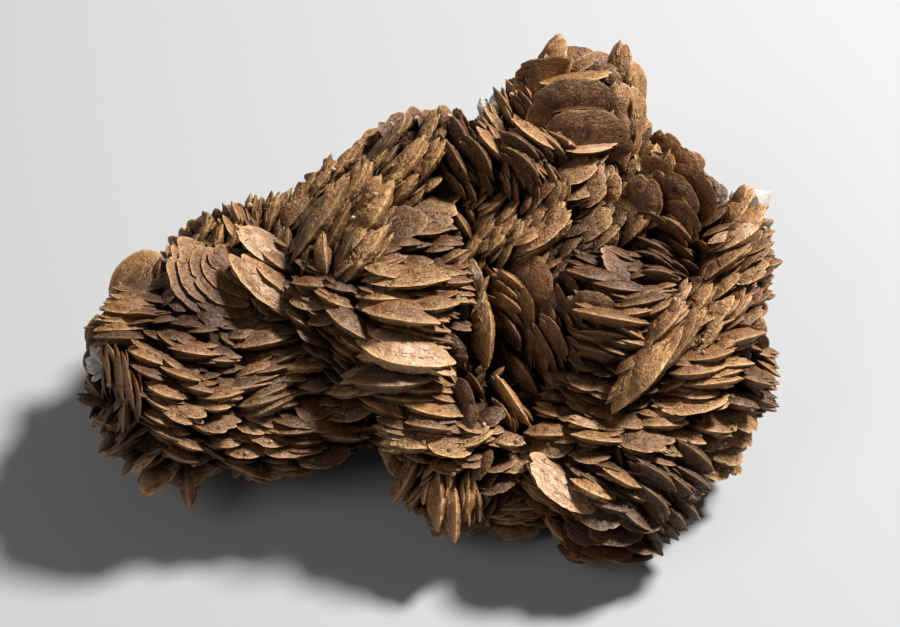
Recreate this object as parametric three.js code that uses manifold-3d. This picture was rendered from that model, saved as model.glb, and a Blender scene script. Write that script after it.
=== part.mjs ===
// A cabinet specimen of siderite: fans and books of lens-shaped crystals, grown together on a massive root of the
// same mineral, with three small clusters of quartz points. Millimetres, +Z up. The specimen lies on the flat face
// where it was broken off, the origin is in that face, and the face that is shown looks forward (-Y) and up.
import Module from 'manifold-3d';
import * as THREE from 'three';
import { mergeVertices } from 'three/addons/utils/BufferGeometryUtils.js';

const wasm = await Module();
wasm.setup();

// The show face. Places on it are [across, up] from its middle, as they are seen from straight in front of it.
const SHOW_LIFT = THREE.MathUtils.degToRad( 50 ); // how far the show face looks up from level
const SHOW_HEIGHT = 25; // its middle, above the surface that the specimen lies on
const SHOW_DISTANCE = 360; // where it is seen from

// Crystals.
const LARGE_RADIUS = 6; // a crystal above this has more corners
const LARGE_SIDES = 7;
const SMALL_SIDES = 5;
const LENS_DEPTH = 0.75; // of its width, across its long edge
const LENS_SWELL = 0.11; // half its thickness, of its radius
const LENS_LEAST = 0.5; // and at least this much
const SIZE_SPREAD = 0.22; // how much crystals of one fan differ
const TURN_SPREAD = 16; // degrees that a crystal leans from its fan

// Crystals of the sides, back and underside, which stand in small books.
const BOOK_SPACING = 17;
const BOOK_RADIUS = [ 4.5, 6.5 ];
const BOOK_STEP = 2.8;
const BOOK_PLATES = 2;
const SHOW_EDGE = 0.05; // a place that looks this much to the front belongs to the show face
const UNDERSIDE = 5; // the broken face has no crystals below this height

// Quartz points and the socket that each sits in.
const QUARTZ_SIDES = 6;
const QUARTZ_TIP = 1.1; // height of a point's tip, of its radius
const QUARTZ_SUNK = 3.5; // how far a point's foot is inside the root
const SOCKET_GAP = 0.3;

const FLOOR_BLOCK = 200;

const SIDERITE = new THREE.MeshStandardMaterial( { color: 0x8a6238, roughness: 0.5, metalness: 0 } );
const QUARTZ = new THREE.MeshStandardMaterial( { color: 0xe4e2dc, roughness: 0.1, metalness: 0 } );

// The crystals' middles lie on these rounded lobes, given by the middle and the three half sizes of each. The
// massive root fills a share of every lobe, and a crystal's middle stands off it by a share of the crystal's reach.
const ROOT_SHARE = 0.8;
const HOLD = 0.62;
const LOBES = [
	{ at: [ 3, 4, 9 ], size: [ 34, 22, 14 ] }, // broken foot
	{ at: [ 13, 12, 22 ], size: [ 33, 18, 16 ] }, // back
	{ at: [ - 44, - 7, 19 ], size: [ 15.5, 20, 16 ] }, // west
	{ at: [ - 29, - 11, 16 ], size: [ 15, 13, 10 ] }, // south-west
	{ at: [ - 33, 12, 23 ], size: [ 14, 13, 12 ] }, // north-west
	{ at: [ - 12, 4, 24 ], size: [ 22, 22, 18 ] }, // middle
	{ at: [ - 5, 23, 33 ], size: [ 15, 13, 12 ] }, // north
	{ at: [ 14, 22, 33 ], size: [ 17, 13, 13 ] }, // neck
	{ at: [ 21, 30, 38 ], size: [ 11, 11, 11 ] }, // crown
	{ at: [ 34, 17, 29 ], size: [ 12, 11, 11 ] }, // north-east
	{ at: [ 44, 9, 24 ], size: [ 8, 10, 10 ] }, // east tip
	{ at: [ 27, - 1, 22 ], size: [ 17, 18, 16 ] }, // east
	{ at: [ 38, - 6, 19 ], size: [ 13, 14, 13 ] }, // east rim
	{ at: [ 26, - 19, 12 ], size: [ 16, 15, 13 ] }, // south-east
	{ at: [ 1, - 17, 16 ], size: [ 12, 12, 11 ] }, // south
];

// The fans of the show face. Each goes from one place to another, and its crystals turn and shrink on the way:
// [ from, to, heading of the long edges, opening, radius, crystals ]. The heading is in degrees up from level.
// An opening of 0 shows a crystal edge-on, 90 its upper side, and less than 0 its lower side.
const FANS = [
	// West tip: a dome, a ladder of level blades, and steep ones at the tip.
	[ [ - 50, 4 ], [ - 52, 6 ], [ 30, 60 ], [ 60, 30 ], [ 6, 7 ], 2 ],
	[ [ - 51, 3 ], [ - 53, - 4 ], [ 0, 0 ], [ 15, 5 ], [ 4.8, 4.5 ], 3 ],
	[ [ - 52, - 8 ], [ - 56, - 9 ], [ 95, 105 ], [ 15, 0 ], [ 5, 4.5 ], 2 ],
	[ [ - 54, - 15 ], [ - 51, - 20 ], [ 60, 40 ], [ - 10, - 20 ], [ 5, 4.5 ], 3 ],

	// West shells, which overlap like roof tiles, and the slope below them.
	[ [ - 39, 12 ], [ - 40, 3 ], [ 60, - 32 ], [ 30, 52 ], [ 4.5, 7 ], 4 ],
	[ [ - 29, 10 ], [ - 33, - 0.5 ], [ - 36, - 40 ], [ 35, 50 ], [ 6, 7 ], 3 ],
	[ [ - 40, - 6 ], [ - 40, - 9 ], [ - 5, - 5 ], [ 20, 20 ], [ 4, 4 ], 2 ],
	[ [ - 30, - 3 ], [ - 30, - 13 ], [ 12, 12 ], [ 20, 30 ], [ 8, 7.5 ], 4 ],
	[ [ - 45, - 9 ], [ - 42, - 22 ], [ - 25, - 35 ], [ 20, 5 ], [ 4.5, 4 ], 4 ],
	[ [ - 50, - 12 ], [ - 47, - 20 ], [ - 20, - 30 ], [ 10, 0 ], [ 4.5, 4 ], 2 ],
	[ [ - 36, - 15 ], [ - 34, - 23 ], [ - 5, - 5 ], [ 45, 30 ], [ 4.5, 4 ], 3 ],
	[ [ - 30, - 17 ], [ - 28, - 24 ], [ - 10, - 25 ], [ 40, 30 ], [ 4.5, 4 ], 3 ],
	[ [ - 24, - 20 ], [ - 22, - 25 ], [ 10, - 10 ], [ 35, 20 ], [ 5, 4.5 ], 3 ],
	[ [ - 47, - 24 ], [ - 43, - 29 ], [ 25, 95 ], [ 0, 10 ], [ 5, 4.5 ], 3 ],

	// North-west: steep granular blades side by side, and the rim behind them.
	[ [ - 34, 14 ], [ - 28, 18 ], [ 110, 65 ], [ 5, 20 ], [ 3.2, 4.5 ], 2 ],
	[ [ - 44, 8 ], [ - 31, 15 ], [ 50, 60 ], [ 40, 25 ], [ 5.5, 5.5 ], 3 ],
	[ [ - 27, 18 ], [ - 18, 22 ], [ 60, 50 ], [ 40, 35 ], [ 5.5, 6 ], 3 ],
	[ [ - 25, 15 ], [ - 18, 14 ], [ 54, 62 ], [ 22, 5 ], [ 7, 7 ], 3 ],
	[ [ - 13.5, 16 ], [ - 11.5, 10 ], [ 50, 60 ], [ 12, 8 ], [ 6, 5.5 ], 2 ],
	[ [ - 14, 23 ], [ - 10, 28 ], [ 55, 45 ], [ 25, 40 ], [ 6, 5.5 ], 2 ],
	[ [ - 6, 23 ], [ - 4, 29 ], [ 38, 55 ], [ 20, 60 ], [ 5.8, 6 ], 3 ],
	[ [ - 20.3, 9.5 ], [ - 20.3, 9.5 ], [ 100, 100 ], [ 0, 0 ], [ 4.6, 4.6 ], 1 ],
	[ [ - 4.5, 16 ], [ - 4.5, 13.5 ], [ 0, 0 ], [ 38, 30 ], [ 5.5, 5 ], 2 ],

	// Middle: the round mound, the bright book below it, and small blades beside them.
	[ [ - 7, 7 ], [ - 6, - 3 ], [ 8, - 10 ], [ 50, 25 ], [ 8, 6 ], 3 ],
	[ [ - 8, - 8 ], [ - 10, - 14 ], [ - 8, - 8 ], [ 30, 15 ], [ 8.5, 8 ], 4 ],
	[ [ - 20, 0 ], [ - 15, - 7 ], [ - 30, - 35 ], [ 55, 15 ], [ 5.5, 3.5 ], 3 ],
	[ [ - 20, - 15 ], [ - 9, - 19 ], [ - 5, - 8 ], [ 50, 25 ], [ 6, 7 ], 3 ],
	[ [ 2, 14.5 ], [ 3.8, 15.5 ], [ - 65, - 65 ], [ 0, 0 ], [ 2.8, 2.4 ], 2 ],
	[ [ 8, 16.5 ], [ 6, 10 ], [ 45, 58 ], [ 35, 40 ], [ 3.6, 3.6 ], 3 ],
	[ [ 16.5, 12 ], [ 15.5, 9 ], [ 40, 40 ], [ 35, 20 ], [ 5.2, 4.5 ], 2 ],
	[ [ 22, 21 ], [ 23, 14 ], [ 10, 30 ], [ 40, 60 ], [ 4, 4.6 ], 2 ],
	[ [ 27, 20 ], [ 32, 17 ], [ 0, 40 ], [ 45, 45 ], [ 4, 5 ], 2 ],
	[ [ 4, 5.5 ], [ 10, 4 ], [ - 20, - 55 ], [ 60, 30 ], [ 4.2, 3.5 ], 2 ],
	[ [ 6.2, - 2.5 ], [ 8, - 2 ], [ 95, 100 ], [ 8, 20 ], [ 7.8, 6 ], 2 ],
	[ [ 13.5, 1 ], [ 17, 2 ], [ - 75, - 80 ], [ 60, 30 ], [ 7.8, 6 ], 3 ],
	[ [ 9.5, - 14.5 ], [ 20, - 7 ], [ - 63, - 60 ], [ 20, 5 ], [ 5.8, 3.8 ], 4 ],
	[ [ 1, - 12 ], [ 2, - 12 ], [ - 20, - 20 ], [ 60, 60 ], [ 4.5, 4.5 ], 1 ],

	// Crown: thick level crystals that lean over the face, and the lighter blades to their left.
	[ [ 3, 27 ], [ 5, 31 ], [ - 57, - 57 ], [ 30, 40 ], [ 6, 5.5 ], 3 ],
	[ [ 7, 28 ], [ 13, 25.5 ], [ - 48, - 38 ], [ 35, 35 ], [ 4.2, 4 ], 3 ],
	[ [ 1, 31 ], [ 9, 34 ], [ 20, - 30 ], [ 50, 30 ], [ 4.5, 4.5 ], 2 ],
	[ [ 10.5, 33.5 ], [ 13.5, 34.5 ], [ - 50, - 50 ], [ 15, 10 ], [ 5, 4.5 ], 2 ],
	[ [ 21, 38.5 ], [ 21, 31.5 ], [ 5, 5 ], [ - 30, - 40 ], [ 8, 8 ], 3 ],
	[ [ 18, 41 ], [ 22, 40 ], [ 65, 20 ], [ 30, 30 ], [ 5.2, 5 ], 2 ],
	[ [ 28, 40 ], [ 27.5, 36.5 ], [ - 80, - 75 ], [ 45, 35 ], [ 5.5, 6 ], 2 ],
	[ [ 21, 27 ], [ 12.5, 37 ], [ 0, 80 ], [ - 20, - 30 ], [ 5, 4 ], 2 ],
	[ [ 30, 28 ], [ 30, 23 ], [ 45, 10 ], [ 45, 15 ], [ 4.2, 3.6 ], 3 ],

	// East: nested shells that fall away to the right, large tiles and the long tongue.
	[ [ 34, 25.5 ], [ 38, 15 ], [ - 35, - 70 ], [ 45, 35 ], [ 5.5, 6.8 ], 4 ],
	[ [ 46.5, 17 ], [ 49, 11 ], [ 30, 30 ], [ 35, 30 ], [ 4.6, 4.6 ], 3 ],
	[ [ 46, 6 ], [ 46.5, - 1 ], [ 35, 35 ], [ 55, 35 ], [ 6, 4.5 ], 3 ],
	[ [ 34, - 1 ], [ 37.5, 3 ], [ 45, 45 ], [ 25, 25 ], [ 4, 4 ], 2 ],
	[ [ 33, - 7.5 ], [ 36, - 6 ], [ 50, 50 ], [ 38, 25 ], [ 8.2, 7.5 ], 2 ],
	[ [ 24, 8.5 ], [ 28, 6.5 ], [ - 5, 0 ], [ - 20, 45 ], [ 5, 4 ], 2 ],
	[ [ 24, 3 ], [ 26, - 2 ], [ - 16, - 16 ], [ 38, 30 ], [ 6.5, 6 ], 2 ],
	[ [ 30, 2 ], [ 29.5, - 4.5 ], [ 12, 10 ], [ 20, 20 ], [ 5, 3.5 ], 2 ],

	// South-east: a fan of level blades, and the steep ones at its rim.
	[ [ 44, - 5 ], [ 43, - 15 ], [ 15, - 20 ], [ 12, 40 ], [ 6.8, 6 ], 4 ],
	[ [ 49.5, - 5 ], [ 49.5, - 17 ], [ - 10, - 35 ], [ 15, 10 ], [ 4.6, 4.4 ], 3 ],
	[ [ 18.5, - 13 ], [ 21.5, - 17 ], [ 0, 0 ], [ 45, 45 ], [ 3.8, 3.5 ], 2 ],
	[ [ 15, - 21 ], [ 24, - 21 ], [ 5, - 5 ], [ 45, 25 ], [ 5.5, 4.8 ], 2 ],
	[ [ 31, - 21 ], [ 31, - 25 ], [ - 10, - 20 ], [ 50, 30 ], [ 5.2, 4 ], 2 ],
	[ [ 41.5, - 19 ], [ 42, - 25 ], [ - 30, - 35 ], [ 50, 30 ], [ 5.8, 5 ], 3 ],
	[ [ 37, - 27.5 ], [ 34, - 34 ], [ - 35, - 55 ], [ 10, - 10 ], [ 6.2, 5.8 ], 3 ],

	// Foot and south: the large bright tile, the foot below it, and the blades that hang in the middle.
	[ [ 9, - 26 ], [ 17.5, - 30.5 ], [ 10, - 38 ], [ 45, 42 ], [ 5, 7.5 ], 3 ],
	[ [ 24, - 29.5 ], [ 30, - 29 ], [ - 22, - 25 ], [ 12, 10 ], [ 4.2, 3 ], 3 ],
	[ [ 18, - 35.5 ], [ 26, - 35.5 ], [ - 50, - 20 ], [ 30, 45 ], [ 5, 6.5 ], 3 ],
	[ [ 10, - 31.5 ], [ 5.5, - 29 ], [ 0, 80 ], [ - 10, 40 ], [ 5, 4.5 ], 2 ],
	[ [ - 1.8, - 29 ], [ 2.2, - 30 ], [ 92, 88 ], [ 5, 0 ], [ 5.5, 5.5 ], 3 ],
	[ [ - 7, - 25 ], [ - 3, - 26 ], [ 62, 45 ], [ 12, 10 ], [ 5, 4 ], 2 ],
	[ [ - 5.5, - 21.5 ], [ - 14, - 22 ], [ - 10, - 20 ], [ 45, 30 ], [ 4.6, 3.6 ], 2 ],
];

// Quartz clusters: where each stands on the show face, which way it points, and the radius and length of each point.
const QUARTZ_CLUSTERS = [
	{ name: 'quartz_west', place: [ - 55, - 9 ], heading: 170, points: [ [ 1.7, 11 ], [ 1.3, 10 ] ] },
	{ name: 'quartz_east', place: [ 47, 14 ], heading: 60, points: [ [ 1.6, 12 ], [ 1.3, 10.5 ] ] },
	{ name: 'quartz_rim', place: [ 5, 32 ], heading: 90, points: [ [ 1.3, 10 ], [ 1.1, 9 ] ] },
];

const ACROSS = new THREE.Vector3( 1, 0, 0 );
const UP = new THREE.Vector3( 0, Math.sin( SHOW_LIFT ), Math.cos( SHOW_LIFT ) );
const OUT = new THREE.Vector3( 0, - Math.cos( SHOW_LIFT ), Math.sin( SHOW_LIFT ) );
const SHOW_MIDDLE = new THREE.Vector3( 0, 0, SHOW_HEIGHT );

// A repeatable spread of numbers between 0 and 1, by a crystal's number and what it is for.
function chance( number, use ) {

	const wave = Math.sin( number * 12.9898 + use * 78.233 ) * 43758.5453;
	return wave - Math.floor( wave );

}

function between( range, share ) {

	return range[ 0 ] + ( range[ 1 ] - range[ 0 ] ) * share;

}

// The place at [across, up] where a line of sight first meets the root, or passes nearest to it.
function placeOnFace( across, up ) {

	const start = SHOW_MIDDLE.clone().addScaledVector( ACROSS, across ).addScaledVector( UP, up );
	const sight = OUT.clone().addScaledVector( ACROSS, - across / SHOW_DISTANCE )
		.addScaledVector( UP, - up / SHOW_DISTANCE );
	let front = - Infinity;
	let beside = 0;
	let leastMiss = Infinity;
	for ( const { at, size } of LOBES ) {

		const scale = new THREE.Vector3( ...size );
		const from = start.clone().sub( new THREE.Vector3( ...at ) ).divide( scale );
		const along = sight.clone().divide( scale );
		const nearest = - from.dot( along ) / along.lengthSq();
		const miss = from.addScaledVector( along, nearest ).length();
		if ( miss < 1 ) {

			front = Math.max( front, nearest + Math.sqrt( ( 1 - miss * miss ) / along.lengthSq() ) );

		} else if ( miss < leastMiss ) {

			leastMiss = miss;
			beside = nearest;

		}

	}

	return start.addScaledVector( sight, Number.isFinite( front ) ? front : beside );

}

// Draws a crystal's middle in, where it must be, so that the crystal's inner edge is well inside the root.
function settle( place, normal, radius ) {

	let leastGap = Infinity;
	let inward = null;
	let reach = 0;
	for ( const { at, size } of LOBES ) {

		const scale = new THREE.Vector3( ...size );
		const offset = place.clone().sub( new THREE.Vector3( ...at ) );
		const distance = offset.length();
		const gap = distance * ( 1 - ROOT_SHARE / offset.clone().divide( scale ).length() );
		if ( gap < leastGap ) {

			const tilt = offset.clone().divide( scale ).divide( scale ).normalize().dot( normal );
			leastGap = gap;
			inward = offset.divideScalar( - distance );
			reach = radius * LENS_DEPTH * Math.sqrt( 1 - tilt * tilt );

		}

	}

	return place.addScaledVector( inward, Math.max( leastGap - HOLD * reach, 0 ) );

}

function toSolid( geometry ) {

	geometry.deleteAttribute( 'normal' );
	geometry.deleteAttribute( 'uv' );
	const merged = mergeVertices( geometry );
	return new wasm.Manifold( new wasm.Mesh( {
		numProp: 3,
		vertProperties: new Float32Array( merged.attributes.position.array ),
		triVerts: new Uint32Array( merged.index.array ),
	} ) );

}

function toGeometry( solid ) {

	const mesh = solid.getMesh();
	const geometry = new THREE.BufferGeometry();
	geometry.setAttribute( 'position', new THREE.BufferAttribute( mesh.vertProperties, 3 ) );
	geometry.setIndex( new THREE.BufferAttribute( mesh.triVerts, 1 ) );
	return geometry;

}

function join( solids ) {

	return solids.reduce( ( whole, solid ) => whole.add( solid ) );

}

// One lens-shaped crystal: its middle, the normal of its broad faces, the way its long edge runs, and its radius.
function lens( middle, normal, edge, radius, number ) {

	const swell = Math.max( LENS_SWELL * radius, LENS_LEAST ) * ( 1 + SIZE_SPREAD * ( chance( number, 4 ) - 0.5 ) );
	const inward = normal.clone().cross( edge ).normalize();
	const along = inward.clone().cross( normal ).normalize();
	const geometry = new THREE.SphereGeometry( 1, radius > LARGE_RADIUS ? LARGE_SIDES : SMALL_SIDES, 2 );
	geometry.rotateY( chance( number, 5 ) * Math.PI );
	geometry.applyMatrix4( new THREE.Matrix4().makeBasis(
		along.multiplyScalar( radius ),
		normal.clone().multiplyScalar( swell ),
		inward.multiplyScalar( - radius * LENS_DEPTH ),
	).setPosition( middle ) );
	return toSolid( geometry );

}

function rootLobe( { at, size } ) {

	const geometry = new THREE.IcosahedronGeometry( ROOT_SHARE, 1 );
	geometry.scale( ...size );
	geometry.translate( ...at );
	return toSolid( geometry );

}

function showCrystals() {

	const crystals = [];
	for ( const [ from, to, heading, opening, radius, count ] of FANS ) {

		for ( let plate = 0; plate < count; plate ++ ) {

			const share = count > 1 ? plate / ( count - 1 ) : 0;
			const number = crystals.length;
			const lean = TURN_SPREAD * ( chance( number, 1 ) - 0.5 );
			const turn = THREE.MathUtils.degToRad( between( heading, share ) + lean );
			const open = THREE.MathUtils.degToRad( between( opening, share ) );
			const edge = ACROSS.clone().multiplyScalar( Math.cos( turn ) ).addScaledVector( UP, Math.sin( turn ) );
			const normal = ACROSS.clone().multiplyScalar( - Math.sin( turn ) * Math.cos( open ) )
				.addScaledVector( UP, Math.cos( turn ) * Math.cos( open ) )
				.addScaledVector( OUT, Math.sin( open ) );
			const across = between( [ from[ 0 ], to[ 0 ] ], share );
			const up = between( [ from[ 1 ], to[ 1 ] ], share );
			const size = between( radius, share ) * ( 1 + SIZE_SPREAD * ( chance( number, 2 ) - 0.5 ) );
			crystals.push( lens( settle( placeOnFace( across, up ), normal, size ), normal, edge, size, number ) );

		}

	}

	return crystals;

}

// Whether a place lies inside the root, leaving one lobe out of account.
function isBuried( place, own ) {

	return LOBES.some( ( lobe ) => lobe !== own
		&& place.clone().sub( new THREE.Vector3( ...lobe.at ) ).divide( new THREE.Vector3( ...lobe.size ) ).length() < 1 );

}

// Books all over the sides, back and underside. The places on each lobe follow a golden spiral.
function hiddenCrystals() {

	const crystals = [];
	for ( const lobe of LOBES ) {

		const [ x, y, z ] = lobe.size;
		const area = 4 * Math.PI * ( x * y + y * z + z * x ) / 3;
		const places = Math.round( area / BOOK_SPACING ** 2 );
		for ( let spot = 0; spot < places; spot ++ ) {

			const height = 1 - 2 * ( spot + 0.5 ) / places;
			const ring = Math.sqrt( 1 - height * height );
			const angle = spot * Math.PI * ( 3 - Math.sqrt( 5 ) );
			const scale = new THREE.Vector3( ...lobe.size );
			const direction = new THREE.Vector3( ring * Math.cos( angle ), ring * Math.sin( angle ), height );
			const place = direction.clone().multiply( scale ).add( new THREE.Vector3( ...lobe.at ) );
			const outward = direction.clone().divide( scale ).normalize();
			if ( outward.dot( OUT ) > SHOW_EDGE || place.z < UNDERSIDE || isBuried( place, lobe ) ) continue;

			const number = 1000 + crystals.length;
			const side = new THREE.Vector3( 0, 0, 1 ).cross( outward ).normalize();
			side.applyAxisAngle( outward, chance( number, 6 ) * Math.PI );
			for ( let plate = 0; plate < BOOK_PLATES; plate ++ ) {

				const lean = THREE.MathUtils.degToRad( 2 * TURN_SPREAD * ( chance( number + plate, 1 ) - 0.2 ) );
				const edge = side.clone().cross( outward );
				const normal = side.clone().applyAxisAngle( edge, lean );
				const radius = between( BOOK_RADIUS, chance( number + plate, 2 ) );
				const middle = place.clone().addScaledVector( side, ( plate - ( BOOK_PLATES - 1 ) / 2 ) * BOOK_STEP );
				crystals.push( lens( settle( middle, normal, radius ), normal, edge, radius, number ) );

			}

		}

	}

	return crystals;

}

// A cluster of quartz points that fan out from one place, each grown by a margin.
function quartzCluster( { place, heading, points }, margin ) {

	const turn = THREE.MathUtils.degToRad( heading );
	const side = ACROSS.clone().multiplyScalar( Math.cos( turn ) ).addScaledVector( UP, Math.sin( turn ) );
	return join( points.map( ( [ radius, length ], index ) => {

		const wide = radius + margin;
		const profile = [
			new THREE.Vector2( 0, - margin ),
			new THREE.Vector2( wide, - margin ),
			new THREE.Vector2( wide, length - QUARTZ_TIP * radius ),
			new THREE.Vector2( 0, length + margin ),
		];
		const geometry = new THREE.LatheGeometry( profile, QUARTZ_SIDES );
		const spread = index - ( points.length - 1 ) / 2;
		const aim = side.clone().addScaledVector( OUT, 0.6 ).applyAxisAngle( OUT, spread * 0.6 ).normalize();
		geometry.applyQuaternion( new THREE.Quaternion().setFromUnitVectors( new THREE.Vector3( 0, 1, 0 ), aim ) );
		const foot = settle( placeOnFace( ...place ), aim, 0 ).addScaledVector( aim, - QUARTZ_SUNK );
		geometry.translate( foot.x, foot.y, foot.z );
		return toSolid( geometry );

	} ) );

}

const floor = new THREE.BoxGeometry( FLOOR_BLOCK, FLOOR_BLOCK, FLOOR_BLOCK );
floor.translate( 0, 0, - FLOOR_BLOCK / 2 );

const grown = join( [ ...LOBES.map( rootLobe ), ...showCrystals(), ...hiddenCrystals() ] );
const sockets = join( QUARTZ_CLUSTERS.map( ( cluster ) => quartzCluster( cluster, SOCKET_GAP ) ) );
const trimmed = grown.subtract( toSolid( floor ) ).subtract( sockets );
const largest = trimmed.decompose().reduce( ( best, body ) => body.volume() > best.volume() ? body : best );

const specimen = new THREE.Group();
const siderite = new THREE.Mesh( toGeometry( largest ), SIDERITE );
siderite.name = 'siderite';
specimen.add( siderite );

for ( const cluster of QUARTZ_CLUSTERS ) {

	const quartz = new THREE.Mesh( toGeometry( quartzCluster( cluster, 0 ) ), QUARTZ );
	quartz.name = cluster.name;
	specimen.add( quartz );

}

export default specimen;
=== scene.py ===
import itertools
import math

import bmesh
import bpy
import numpy as np
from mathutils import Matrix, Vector
from mathutils.bvhtree import BVHTree


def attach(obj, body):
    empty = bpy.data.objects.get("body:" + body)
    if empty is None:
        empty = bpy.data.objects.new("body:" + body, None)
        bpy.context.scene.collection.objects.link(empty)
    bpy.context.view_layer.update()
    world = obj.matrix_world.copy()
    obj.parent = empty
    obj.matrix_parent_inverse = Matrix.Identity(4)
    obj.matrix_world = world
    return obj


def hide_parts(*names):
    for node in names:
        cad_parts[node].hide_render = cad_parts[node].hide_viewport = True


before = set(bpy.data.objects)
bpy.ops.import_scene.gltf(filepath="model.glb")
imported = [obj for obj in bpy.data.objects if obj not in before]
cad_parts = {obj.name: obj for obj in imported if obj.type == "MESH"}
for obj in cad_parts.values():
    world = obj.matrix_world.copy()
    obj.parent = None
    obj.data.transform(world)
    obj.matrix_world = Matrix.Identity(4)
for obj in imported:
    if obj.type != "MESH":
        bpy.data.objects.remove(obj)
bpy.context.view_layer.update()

# The massive root: rounded lobes of solid siderite, out of which every crystal grows. It is granular rock,
# very dark where it shows between the crystals, partly with iron oxide and partly with painted shade of the
# deep hollows there, and broken flat below, where the specimen rests.
MM = 0.001  # the growth is laid out in millimetres and made in metres
LOBE_AT = np.array([
    [3, 4, 9],  # broken foot
    [13, 12, 22],  # back
    [-44, -7, 19],  # west
    [-29, -11, 16],  # south-west
    [-33, 11.5, 22.5],  # north-west
    [-12, 4, 24],  # middle
    [-3.5, 22, 32.5],  # north
    [-16.5, 18.5, 29],  # north shoulder
    [14, 22, 33],  # neck
    [21, 30, 38],  # crown
    [34, 17, 29],  # north-east
    [44.6, 10, 26],  # east tip
    [27, -1, 22],  # east
    [38, -6, 19],  # east rim
    [26, -19, 12],  # south-east
    [1, -17, 16],  # south
    [40, -12, 11],  # south-east rim
    [0.5, -26, 11.5],  # south drop
    [25, -28.6, 6.2],  # lowest foot
    [10, -24, 7.4],  # south hem
], dtype=float)
LOBE_SIZE = np.array([
    [34, 22, 14],
    [33, 18, 16],
    [15.5, 20, 16],
    [15, 13, 10],
    [14, 11.5, 10.5],
    [22, 22, 18],
    [13, 12, 11],
    [8, 8.5, 8.5],
    [17, 13, 13],
    [11, 11, 11],
    [12, 11, 11],
    [8, 10, 10],
    [17, 18, 16],
    [13, 14, 13],
    [16, 15, 13],
    [12, 12, 11],
    [7.5, 8, 7.5],
    [5.5, 5.5, 6],
    [9, 5.4, 5.6],
    [6.5, 5.4, 5.4],
], dtype=float)
ROOT_SHARE = 0.8  # the root fills this much of every lobe
ROOT_GRAIN = 1.0  # size of its mesh
ROOT_RELIEF = ((6, 0.7), (2.4, 0.4), (1.1, 0.3))  # size and height of its lumps
ROOT_WEAR = 0.3  # how far its skin lies below the lobes


def lumps(places, size, seed):
    """Smooth random heights from -1 to 1 at places, in lumps of one size: the blended values of a lattice."""
    cell = places / size + seed * 17.31
    corner = np.floor(cell)
    blend = cell - corner
    blend = blend * blend * (3 - 2 * blend)
    height = np.zeros(len(places))
    for step in itertools.product((0, 1), repeat=3):
        weight = np.prod(np.where(step, blend, 1 - blend), axis=1)
        wave = np.sin((corner + step) @ (12.9898, 78.233, 37.719)) * 43758.5453
        height += weight * (wave - np.floor(wave))
    return 2 * height - 1


def put_up(name, points, faces, values, material, slot, *nodes):
    """One piece of the specimen from points in millimetres, with the values that its material reads."""
    mesh = bpy.data.meshes.new(name)
    corners = np.concatenate([f.ravel() for f in faces])
    sizes = np.concatenate([np.full(len(f), f.shape[1]) for f in faces])
    mesh.vertices.add(len(points))
    mesh.vertices.foreach_set("co", (points * MM).ravel())
    mesh.loops.add(len(corners))
    mesh.loops.foreach_set("vertex_index", corners)
    mesh.polygons.add(len(sizes))
    mesh.polygons.foreach_set("loop_start", np.concatenate([[0], np.cumsum(sizes)[:-1]]))
    mesh.polygons.foreach_set("use_smooth", np.ones(len(sizes), dtype=bool))
    for label, value in values.items():
        if value.ndim == 1:
            mesh.attributes.new(label, "FLOAT", "POINT").data.foreach_set("value", value)
        else:
            mesh.attributes.new(label, "FLOAT_VECTOR", "POINT").data.foreach_set("vector", value.ravel())
    mesh.update(calc_edges=True)
    mesh.validate()
    piece = bpy.data.objects.new(name, mesh)
    bpy.context.scene.collection.objects.link(piece)
    mesh.materials.append(material)
    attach(piece, "root")
    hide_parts(*nodes)
    return piece


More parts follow.
